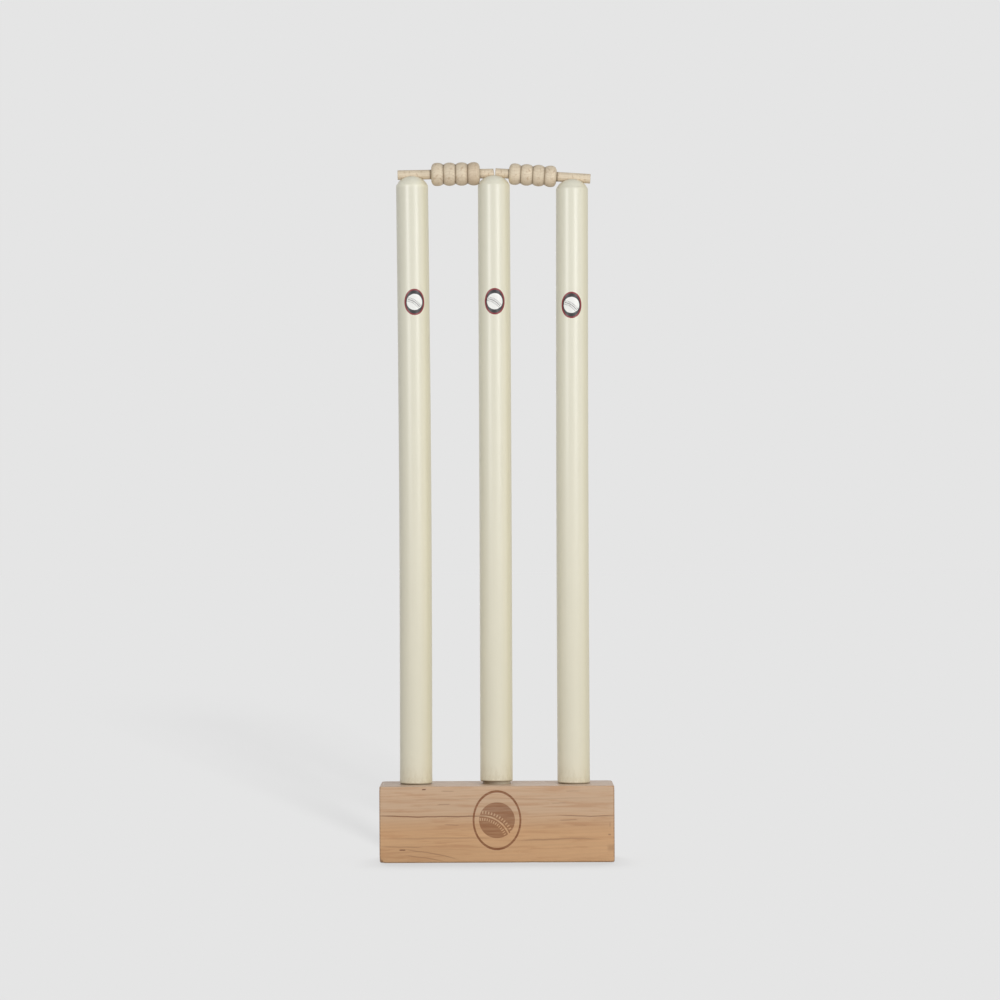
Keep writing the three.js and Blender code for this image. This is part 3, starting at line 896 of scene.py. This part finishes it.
def stump_outline(s, stump_length):
    """A stump's half outline from the tenon's end, with height 0 at the shoulder."""
    tenon = s.tenon_diameter / 2
    foot = s.foot_diameter / 2
    top = s.top_diameter / 2
    rim_radius = top - s.rim_step
    rim_height = stump_length - s.dome_height
    dome = dome_radius(s)
    stations = [(0.0, -s.tenon_length, 0.4)]
    stations += straight((0.0, -s.tenon_length), (tenon - s.tenon_chamfer, -s.tenon_length), 4, 0.4)
    stations += straight(stations[-1][:2], (tenon, s.tenon_chamfer - s.tenon_length), 3, 0.3)
    stations += straight(stations[-1][:2], (tenon, 0.0), 12, 0.15)
    # The shoulder's underside and its round carry dark shares: wear, and painted contact shade where the
    # stump stands on the block
    stations += straight(stations[-1][:2], (foot - s.foot_round, 0.0), 2, 0.6)
    stations += quarter_turn(stations[-1][:2], (foot, s.foot_round), 8, False, 0.5)
    stations += straight((foot, s.foot_round), (top, rim_height - s.rim_fall), 34, 0.0)
    stations += quarter_turn(stations[-1][:2], (rim_radius, rim_height), 8, True, 0.0)
    rim_turn = math.asin(rim_radius / dome)
    dome_steps = 64
    for step in range(1, dome_steps + 1):
        turn = rim_turn * (1 - step / dome_steps)
        stations.append((dome * math.sin(turn), stump_length - dome * (1 - math.cos(turn)), 0.0))
    return stations


def bail_outline(s, inner_end, outer_end, barrel_start, barrel_end, barrel):
    """A bail's half outline from its short inner end to its long outer end. barrel is the beads' radius."""
    spigot = s.spigot_diameter / 2
    valley = barrel - s.valley_depth
    face = valley - s.face_fall
    bead_length = (barrel_end - barrel_start) / s.beads
    bead_steps = 28
    bead_power = 2.3
    face_power = 6.5
    scribe_half_width = 0.22 * MM
    # The third value of a station is its share of darkening: dirt, and in the valleys, scribes and root
    # hollows painted shade as well
    stations = [(0.0, inner_end, 0.25)]
    stations += straight((0.0, inner_end), (spigot - s.end_ease, inner_end), 3, 0.25)
    stations += quarter_turn(stations[-1][:2], (spigot, inner_end + s.end_ease), 6, False, 0.2)
    stations += straight(stations[-1][:2], (spigot, barrel_start - s.root_fillet), 14, 0.0)
    stations += quarter_turn(stations[-1][:2], (spigot + s.root_fillet, barrel_start), 5, True, 0.75)
    stations += straight(stations[-1][:2], (face, barrel_start), 3, 0.3)
    for bead in range(s.beads):
        start = barrel_start + bead * bead_length
        for step in range(1, bead_steps):
            share = (1 - math.cos(math.pi * step / bead_steps)) / 2
            from_crown = abs(2 * share - 1)
            at_face = (bead == 0 and share < 0.5) or (bead == s.beads - 1 and share > 0.5)
            fall = s.valley_depth * from_crown**bead_power + at_face * s.face_fall * from_crown**face_power
            grime_and_shade = 0.2 * from_crown**9 if at_face else 0.8 * from_crown**9
            stations.append((barrel - fall, start + share * bead_length, grime_and_shade))
        if bead < s.beads - 1:
            end = start + bead_length
            stations.append((valley, end - scribe_half_width, 0.8))
            stations.append((valley - s.scribe_depth, end, 1.0))
            stations.append((valley, end + scribe_half_width, 0.8))
    stations.append((face, barrel_end, 0.1))
    stations += straight((face, barrel_end), (spigot + s.root_fillet, barrel_end), 5, 0.3)
    root = (spigot, barrel_end + s.root_fillet)
    stations += quarter_turn(stations[-1][:2], root, 5, False, 0.75)
    stations += straight(root, (spigot, outer_end - s.end_ease), 24, 0.0)
    stations += quarter_turn(stations[-1][:2], (spigot - s.end_ease, outer_end), 6, True, 0.2)
    stations += straight(stations[-1][:2], (0.0, outer_end), 3, 0.25)
    return stations


def cad_stick(node, toward):
    """A CAD stick's first end, its axis, which points toward, and the height and radius of each corner."""
    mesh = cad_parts[node].data
    points = np.empty(len(mesh.vertices) * 3)
    mesh.vertices.foreach_get("co", points)
    points = np.unique(points.reshape(-1, 3).round(6), axis=0)
    centre = points.mean(axis=0)
    axis = np.linalg.svd(points - centre, full_matrices=False)[2][0]
    axis *= math.copysign(1.0, axis @ np.array(toward))
    heights = (points - centre) @ axis
    radii = np.linalg.norm(points - centre - np.outer(heights, axis), axis=1)
    first_end = centre + axis * heights.min()
    return Vector(first_end), Vector(axis), heights - heights.min(), radii


def lean_of(axis):
    """The turn that takes the upright to an axis in the plane of the wicket."""
    return (0.0, math.atan2(axis.x, axis.z), 0.0)


def dome_radius(s):
    """The radius of the ball that a stump's dome is cut from."""
    rim_radius = s.top_diameter / 2 - s.rim_step
    return (rim_radius**2 + s.dome_height**2) / (2 * s.dome_height)


def stump_sticks(s):
    """Each stump's side, and what the node trees take: place, length over the shoulder, groove and bow."""
    dome = dome_radius(s)
    grooves = (s.left_groove, s.middle_groove, s.right_groove)
    found = []
    for side, depth, bow in zip(SIDES, grooves, (s.left_bow, s.middle_bow, s.right_bow)):
        end, axis, heights, _ = cad_stick("stump_" + side, (0.0, 0.0, 1.0))
        cut_away = depth * (2 * s.groove_radius - depth) / (2 * (dome + s.groove_radius - depth))
        found.append((side, {
            "Foot": tuple(end + axis * s.tenon_length), "Lean": lean_of(axis), "Bow": bow,
            "Crown": heights.max() + cut_away - s.tenon_length, "Groove Depth": depth,
        }))
    return found


def block_ring(half_depth, height, edge_round, inset):
    """The points of the block's rounded section, drawn in by inset, as pairs of Y and Z."""
    round_steps = 7
    flat_steps = 24
    radius = edge_round - inset
    corner_y = half_depth - edge_round
    low_z, high_z = edge_round, height - edge_round
    corners = (
        (corner_y, low_z, -90), (corner_y, high_z, 0), (-corner_y, high_z, 90), (-corner_y, low_z, 180),
    )
    points = []
    for index, (centre_y, centre_z, start) in enumerate(corners):
        for step in range(round_steps + 1):
            turn = math.radians(start + 90 * step / round_steps)
            points.append((centre_y + radius * math.cos(turn), centre_z + radius * math.sin(turn)))
        next_y, next_z, next_start = corners[(index + 1) % 4]
        turn = math.radians(next_start)
        end_y, end_z = next_y + radius * math.cos(turn), next_z + radius * math.sin(turn)
        y, z = points[-1]
        for step in range(1, flat_steps):
            share = step / flat_steps
            points.append((y + (end_y - y) * share, z + (end_z - z) * share))
    return points


# Dents and rubbed corners of the block, in millimetres: the deepest point, how far round it the dent
# reaches, and how deep it is there
DENTS = (
    ((-136.7, -44.5, 0.0), 7.5, 2.2),
    ((136.7, -44.5, 89.0), 5.0, 0.7),
    ((-136.7, -44.5, 89.0), 4.5, 0.5),
    ((136.7, -44.5, 0.0), 4.0, 0.4),
    ((-136.7, 44.5, 89.0), 6.0, 0.9),
    ((136.7, 44.5, 89.0), 5.0, 0.7),
    ((42.0, -44.5, 0.0), 9.0, 0.25),
    ((-71.0, -44.5, 89.0), 6.0, 0.25),
    ((104.0, 44.5, 89.0), 7.0, 0.4),
    ((-28.0, 44.5, 89.0), 5.0, 0.3),
    ((136.7, 12.0, 0.0), 7.0, 0.5),
    ((-136.7, -10.0, 89.0), 5.0, 0.35),
)


def worn(points, low, high):
    """Moves the points of the block's skin inward: rubbed corners, dents and faintly hollow faces."""
    centre = Vector(((low.x + high.x) / 2, 0.0, high.z / 2))
    hollow = 0.12 * MM
    near_face_share = 0.8
    moved = []
    for point in points:
        inward = (centre - point).normalized()
        shift = 0.0
        for place, reach, depth in DENTS:
            away = (point - Vector(place) * MM).length / (reach * MM)
            if away < 1:
                shift += depth * MM * (1 - away * away) ** 2
        bow_x = math.cos(math.pi * (point.x - centre.x) / (high.x - low.x))
        bow_y = math.cos(math.pi * point.y / (high.y - low.y))
        bow_z = math.cos(math.pi * (point.z - centre.z) / high.z)
        dished = Vector((0.0, 0.0, 0.0))
        if abs(point.y) > high.y * near_face_share:
            dished.y = math.copysign(bow_x * bow_z, -point.y)
        if point.z > high.z / 2:
            dished.z = -bow_x * bow_y
        moved.append(point + inward * shift + dished * hollow)
    return moved


def block_skin(s, low, high):
    """The block before boring: rings of its section from end to end, and smaller rings over each end."""
    half_depth = (high.y - low.y) / 2
    end_steps = 6
    length_steps = 60
    cap_shares = (0.92, 0.8, 0.64, 0.46, 0.28, 0.12)
    start, end = low.x + s.end_round, high.x - s.end_round
    first = []
    for step in range(end_steps + 1):
        turn = math.pi / 2 * step / end_steps
        first.append((low.x + s.end_round * (1 - math.cos(turn)), s.end_round * (1 - math.sin(turn))))
    between = [(start + (end - start) * step / length_steps, 0.0) for step in range(1, length_steps)]
    last = [(low.x + high.x - x, inset) for x, inset in reversed(first)]
    rings = first + between + last
    points = []
    for x, inset in rings:
        points += [Vector((x, y, z)) for y, z in block_ring(half_depth, high.z, s.edge_round, inset)]
    around = len(points) // len(rings)

    def cap(ring_index):
        ring = points[ring_index * around:(ring_index + 1) * around]
        middle = Vector((ring[0].x, 0.0, high.z / 2))
        indices = [list(range(ring_index * around, (ring_index + 1) * around))]
        for share in cap_shares:
            indices.append(list(range(len(points), len(points) + around)))
            points.extend(middle + (point - middle) * share for point in ring)
        points.append(middle)
        return indices, len(points) - 1

    first_cap, first_middle = cap(0)
    last_cap, last_middle = cap(len(rings) - 1)
    strips = [
        (list(range(r * around, (r + 1) * around)), list(range((r + 1) * around, (r + 2) * around)))
        for r in range(len(rings) - 1)
    ]
    strips += [(inner, outer) for outer, inner in zip(first_cap, first_cap[1:])]
    strips += list(zip(last_cap, last_cap[1:]))
    faces = []
    for ring_a, ring_b in strips:
        for i in range(around):
            j = (i + 1) % around
            faces.append((ring_a[i], ring_a[j], ring_b[j], ring_b[i]))
    for i in range(around):
        j = (i + 1) % around
        faces.append((first_middle, first_cap[-1][j], first_cap[-1][i]))
        faces.append((last_middle, last_cap[-1][i], last_cap[-1][j]))
    mesh = bpy.data.meshes.new("planed_block")
    mesh.from_pydata(worn(points, low, high), [], faces)
    mesh.validate()
    return mesh


def socket_borer(socket_x, radius, floor, mouth, chamfer):
    """The solid that a socket's bit cuts away: a cone for the chamfer over a round bore."""
    facets = 96
    clear = 4 * MM
    levels = (
        (0.0, floor), (radius * 0.5, floor), (radius, floor), (radius, (floor + mouth) / 2),
        (radius, mouth - chamfer), (radius + chamfer, mouth), (radius + chamfer, mouth + clear),
        (0.0, mouth + clear),
    )
    points = []
    for level_radius, z in levels:
        for facet in range(facets):
            turn = 2 * math.pi * facet / facets
            points.append((socket_x + level_radius * math.cos(turn), level_radius * math.sin(turn), z))
    faces = []
    for level in range(len(levels) - 1):
        for facet in range(facets):
            after = (facet + 1) % facets
            base = level * facets
            faces.append((base + facet, base + after, base + facets + after, base + facets + facet))
    mesh = bpy.data.meshes.new("socket_borer")
    mesh.from_pydata(points, [], faces)
    borer = link(bpy.data.objects.new("socket_borer", mesh))
    weld = borer.modifiers.new("Weld", "WELD")
    weld.merge_threshold = MERGE_DISTANCE
    return plain_mesh(borer)


def registered(made, body, node):
    """Hands a finished piece to the frame: its body, and the CAD node it stands for, which it hides."""
    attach(made, body)
    if node:
        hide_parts(node)


class WICKET_OT_base_block(bpy.types.Operator):
    """Makes the oiled wooden block with its three bored sockets"""

    bl_idname = "wicket.base_block"
    bl_label = "Base block"

    def execute(self, context):
        s = context.scene.wicket_block
        stumps = context.scene.wicket_stumps
        low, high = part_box("base_block")
        bore = stumps.tenon_diameter / 2 + s.socket_clearance
        sockets = []
        airs = (s.socket_air, s.middle_air, s.socket_air)
        for (_, stick), air in zip(stump_sticks(stumps), airs):
            shoulder_x, _, shoulder_z = stick["Foot"]
            sockets.append((shoulder_x, bore, shoulder_z - stumps.tenon_length - air))
        block = link(bpy.data.objects.new("planed_block", block_skin(s, low, high)))
        borers = [socket_borer(x, radius, floor, high.z, s.rim_chamfer) for x, radius, floor in sockets]
        for borer in borers:
            cut = block.modifiers.new("Bore", "BOOLEAN")
            cut.object = borer
            cut.operation = "DIFFERENCE"
            cut.solver = "EXACT"
        plain_mesh(block)
        for borer in borers:
            bpy.data.objects.remove(borer)
        block.data.materials.clear()
        block.data.materials.append(block_wood(s, low, high, sockets))
        registered(block, "base", "base_block")
        return {"FINISHED"}


class WICKET_OT_stumps(bpy.types.Operator):
    """Turns and paints the three stumps"""

    bl_idname = "wicket.stumps"
    bl_label = "Stumps"

    def execute(self, context):
        s = context.scene.wicket_stumps
        crown = max(stick["Crown"] for _, stick in stump_sticks(s))
        paint = stump_paint(s, context.scene.wicket_bails, crown)
        tree = bpy.data.node_groups.get("Lathe") or lathe_tree()
        for side, stick in stump_sticks(s):
            stump = outline_object("turned_stump_" + side, stump_outline(s, stick["Crown"]))
            grown(stump, tree, {
                "Turns": s.turns, "Groove Radius": s.groove_radius,
                "Groove Softness": s.groove_softness, "Finish": paint, **stick,
            })
            registered(stump, side + "_stump", "stump_" + side)
        return {"FINISHED"}


class WICKET_OT_bails(bpy.types.Operator):
    """Turns the two beaded bails"""

    bl_idname = "wicket.bails"
    bl_label = "Bails"

    def execute(self, context):
        s = context.scene.wicket_bails
        wood = bail_wood(s)
        tree = bpy.data.node_groups.get("Lathe") or lathe_tree()
        no_groove = -1.0  # a metre past the stick's end, so that nothing is pressed into it
        ends = (("left", -1.0, s.left_slant, 0.0), ("right", 1.0, 0.0, s.right_reach))
        for side, outward, slant, reach in ends:
            inner, axis, heights, radii = cad_stick("bail_" + side, (outward, 0.0, 0.0))
            barrel = heights[radii > s.spigot_diameter / 2 + s.root_fillet]
            beads = radii.max() - s.sanded
            stations = bail_outline(s, -reach, heights.max(), barrel.min(), barrel.max(), beads)
            bail = outline_object("turned_bail_" + side, stations)
            grown(bail, tree, {
                "Turns": s.turns, "Crown": heights.max(), "Groove Depth": no_groove,
                "Groove Radius": s.spigot_diameter, "Groove Softness": 0.0, "End Slant": slant,
                "Foot": tuple(inner), "Lean": lean_of(axis), "Finish": wood,
            })
            registered(bail, side + "_bail", "bail_" + side)
        return {"FINISHED"}


class WICKET_OT_badges(bpy.types.Operator):
    """Prints a plain oval badge with a stitched ball on each stump"""

    bl_idname = "wicket.badges"
    bl_label = "Badges"

    def execute(self, context):
        s = context.scene.wicket_badges
        stumps = context.scene.wicket_stumps
        tree = bpy.data.node_groups.get("Printed badge") or badge_tree()
        inks = {
            "Rim Ink": ink("badge_rim_ink", s.rim_ink),
            "Field Ink": ink("badge_field_ink", s.field_ink),
            "Ball Ink": ink("badge_ball_ink", s.ball_ink),
            "Seam Ink": ink("badge_seam_ink", s.seam_ink),
        }
        turns = (s.left_turn, s.middle_turn, s.right_turn)
        for (side, stick), turn in zip(stump_sticks(stumps), turns):
            up = stick["Crown"] - s.below_crown
            taper = (stumps.top_diameter - stumps.foot_diameter) * up / stick["Crown"]
            badge = link(bpy.data.objects.new("badge_" + side, bpy.data.meshes.new("badge_" + side)))
            grown(badge, tree, {
                "Width": s.width, "Height": s.height, "Rim Width": s.rim_width,
                "Ball Diameter": s.ball_diameter, "Seam Bow": s.seam_bow, "Seam Gap": s.seam_gap,
                "Seam Width": s.seam_width, "Stitch Length": s.stitch_length,
                "Stitch Width": s.stitch_width, "Stitches": s.stitches, "Layer": s.layer,
                "Stick Radius": (stumps.foot_diameter + taper) / 2, "Turn": turn, "Up": up,
                **stick, **inks,
            })
            registered(badge, side + "_stump", None)
        return {"FINISHED"}


# The lamps round the wicket: the name, how many degrees to the right of the front it stands, how far away
# and how high, how wide and how tall it is, how bright it makes a white sheet that faces it, where 1 is
# full white, and whether it lights what is matt and shows in what is glossy. Lengths are in metres
LAMPS = (
    ("key_lamp", 28, 2.2, 0.92, 0.55, 0.42, 0.355, True, True),
    ("fill_lamp", -36, 2.2, 0.92, 0.5, 0.42, 0.2, True, True),
    ("left_gleam_lamp", -36, 2.2, 0.98, 0.5, 0.36, 0.15, False, True),
    ("front_lamp", -3, 2.6, 0.4, 1.6, 0.8, 0.07, True, True),
    ("side_lamp", 72, 2.4, 0.7, 1.2, 1.2, 0.14, True, True),
    ("back_lamp", 188, 2.6, 0.42, 1.4, 1.0, 0.36, True, False),
)


def lamp(name, bearing, distance, height, width, tallness, share):
    """A soft area lamp that faces the middle of the wicket. share is what LAMPS says of a white sheet."""
    aim = Vector((0.0, 0.0, 0.42))
    data = bpy.data.lights.new(name, "AREA")
    data.shape = "RECTANGLE"
    data.size = width
    data.size_y = tallness
    made = link(bpy.data.objects.new(name, data))
    turn = math.radians(bearing)
    made.location = (distance * math.sin(turn), -distance * math.cos(turn), height)
    made.rotation_euler = (aim - made.location).to_track_quat("-Z", "Y").to_euler()
    data.energy = share * math.pi**2 * (aim - made.location).length_squared
    return made


def floor_sun(name, bearing, elevation, softness, shadow_share, floor_share, level):
    """A light for the floor alone. shadow_share is how much darker the floor is in its full shadow."""
    data = bpy.data.lights.new(name, "SUN")
    turn, rise = math.radians(bearing), math.radians(elevation)
    data.energy = shadow_share * level * math.pi / (floor_share * math.sin(rise))
    data.angle = math.radians(softness)
    made = link(bpy.data.objects.new(name, data))
    toward = Vector((math.sin(turn) * math.cos(rise), -math.cos(turn) * math.cos(rise), math.sin(rise)))
    made.rotation_euler = toward.to_track_quat("Z", "Y").to_euler()
    made.visible_glossy = False
    return made


def only_with(name, linked, state):
    """A collection for light linking that takes one object in or leaves it out."""
    collection = bpy.data.collections.new(name)
    collection.objects.link(linked)
    collection.collection_objects[0].light_linking.link_state = state
    return collection


def rays_seen(wiring):
    """1 for the rays that show the backdrop: camera, glossy and transmission rays."""
    path = wiring.node("ShaderNodeLightPath")
    seen = wiring.line(path, "Is Camera Ray").above(wiring.line(path, "Is Glossy Ray"))
    return seen.above(wiring.line(path, "Is Transmission Ray"))


def studio_air(backdrop, ambient):
    """The world: the backdrop's colour to the eye, and soft light from all round."""
    world = bpy.data.worlds.new("studio_air")
    wiring = cleared(world)
    tint = wiring.mix(rays_seen(wiring), (ambient,) * 3, backdrop)
    air = wiring.node("ShaderNodeBackground", {"Color": tint, "Strength": 1.0})
    wiring.node("ShaderNodeOutputWorld", {"Surface": air.outputs[0]})
    return world


def floor_paint(glow_level, lit_share, bounce_share):
    """Pale floor: mostly an even glow, with a little lamp light that the object's shadow takes away."""
    material = bpy.data.materials.new("studio_floor")
    wiring = cleared(material)
    glow = wiring.node("ShaderNodeEmission", {"Color": (1.0, 1.0, 1.0), "Strength": glow_level})
    lit = wiring.node("ShaderNodeBsdfDiffuse", {"Color": (lit_share,) * 3})
    shown = wiring.node("ShaderNodeAddShader", {0: glow.outputs[0], 1: lit.outputs[0]})
    bounced = wiring.node("ShaderNodeBsdfDiffuse", {"Color": (bounce_share,) * 3})
    inputs = {0: rays_seen(wiring), 1: bounced.outputs[0], 2: shown.outputs[0]}
    mixed = wiring.node("ShaderNodeMixShader", inputs)
    wiring.node("ShaderNodeOutputMaterial", {"Surface": mixed.outputs[0]})
    return material


class WICKET_OT_stage(bpy.types.Operator):
    """Sets the pale floor, the soft lamps and the camera"""

    bl_idname = "wicket.stage"
    bl_label = "Stage"

    def execute(self, context):
        scene = context.scene
        s = scene.wicket_stage
        backdrop = tuple(s.backdrop)
        ambient = 0.365
        scene.world = studio_air(backdrop, ambient)

        # streak_share is what the sticks' long shadow takes from the floor, and contact_share the block's
        lit_share = 0.1
        bounce_share = 0.17
        streak_share = 0.095
        contact_share = 0.18
        level = backdrop[0]
        glow_level = level * (1 - streak_share - contact_share) - lit_share * ambient
        half = 40.0
        mesh = bpy.data.meshes.new("floor")
        corners = [(-half, -half, 0), (half, -half, 0), (half, half, 0), (-half, half, 0)]
        mesh.from_pydata(corners, [], [(0, 1, 2, 3)])
        mesh.materials.append(floor_paint(glow_level, lit_share, bounce_share))
        floor = link(bpy.data.objects.new("floor", mesh))

        floor_only = only_with("floor_only", floor, "INCLUDE")
        all_but_floor = only_with("all_but_floor", floor, "EXCLUDE")
        streak = floor_sun(
            "streak_light", bearing=10.5, elevation=12.3, softness=5.6, shadow_share=streak_share,
            floor_share=lit_share, level=level,
        )
        contact = floor_sun(
            "contact_light", bearing=180, elevation=57, softness=36, shadow_share=contact_share,
            floor_share=lit_share, level=level,
        )
        block = bpy.data.objects["planed_block"]
        streak.light_linking.receiver_collection = floor_only
        streak.light_linking.blocker_collection = only_with("all_but_block", block, "EXCLUDE")
        contact.light_linking.receiver_collection = floor_only
        contact.light_linking.blocker_collection = only_with("block_only", block, "INCLUDE")

        for *shape, lights_matt, shows_in_gloss in LAMPS:
            made = lamp(*shape)
            made.visible_diffuse = lights_matt
            made.visible_glossy = shows_in_gloss
            made.light_linking.receiver_collection = all_but_floor

        data = bpy.data.cameras.new("camera")
        data.lens = s.lens
        data.sensor_width = SENSOR_WIDTH
        data.clip_end = CAMERA_REACH
        camera = link(bpy.data.objects.new("camera", data))
        pointing = Matrix.Rotation(math.pi / 2 + s.camera_tilt, 4, "X")
        rolled = pointing @ Matrix.Rotation(s.camera_roll, 4, "Z")
        place = Matrix.Translation((s.camera_aside, -s.camera_distance, s.camera_height))
        camera.matrix_world = place @ rolled
        scene.camera = camera
        scene.view_settings.view_transform = "Standard"
        return {"FINISHED"}


OPERATORS = (
    WICKET_OT_base_block, WICKET_OT_stumps, WICKET_OT_bails, WICKET_OT_badges, WICKET_OT_stage,
)


class WICKET_PT_maker(bpy.types.Panel):
    """Lists the pieces of the wicket"""

    bl_idname = "WICKET_PT_maker"
    bl_label = "Wicket"
    bl_space_type = "VIEW_3D"
    bl_region_type = "UI"
    bl_category = "Wicket"

    def draw(self, context):
        for operator in OPERATORS:
            self.layout.operator(operator.bl_idname)
        for name, group in SETTINGS.items():
            box = self.layout.box()
            for field in group.__annotations__:
                box.prop(getattr(context.scene, name), field)


def register():
    for group in SETTINGS.values():
        bpy.utils.register_class(group)
    for operator in OPERATORS:
        bpy.utils.register_class(operator)
    bpy.utils.register_class(WICKET_PT_maker)
    for name, group in SETTINGS.items():
        setattr(bpy.types.Scene, name, bpy.props.PointerProperty(type=group))


def unregister():
    for name in SETTINGS:
        delattr(bpy.types.Scene, name)
    bpy.utils.unregister_class(WICKET_PT_maker)
    for operator in reversed(OPERATORS):
        bpy.utils.unregister_class(operator)
    for group in reversed(SETTINGS.values()):
        bpy.utils.unregister_class(group)


def main():
    register()
    for operator in OPERATORS:
        getattr(bpy.ops.wicket, operator.bl_idname.split(".")[1])()


if __name__ == "__main__":
    main()
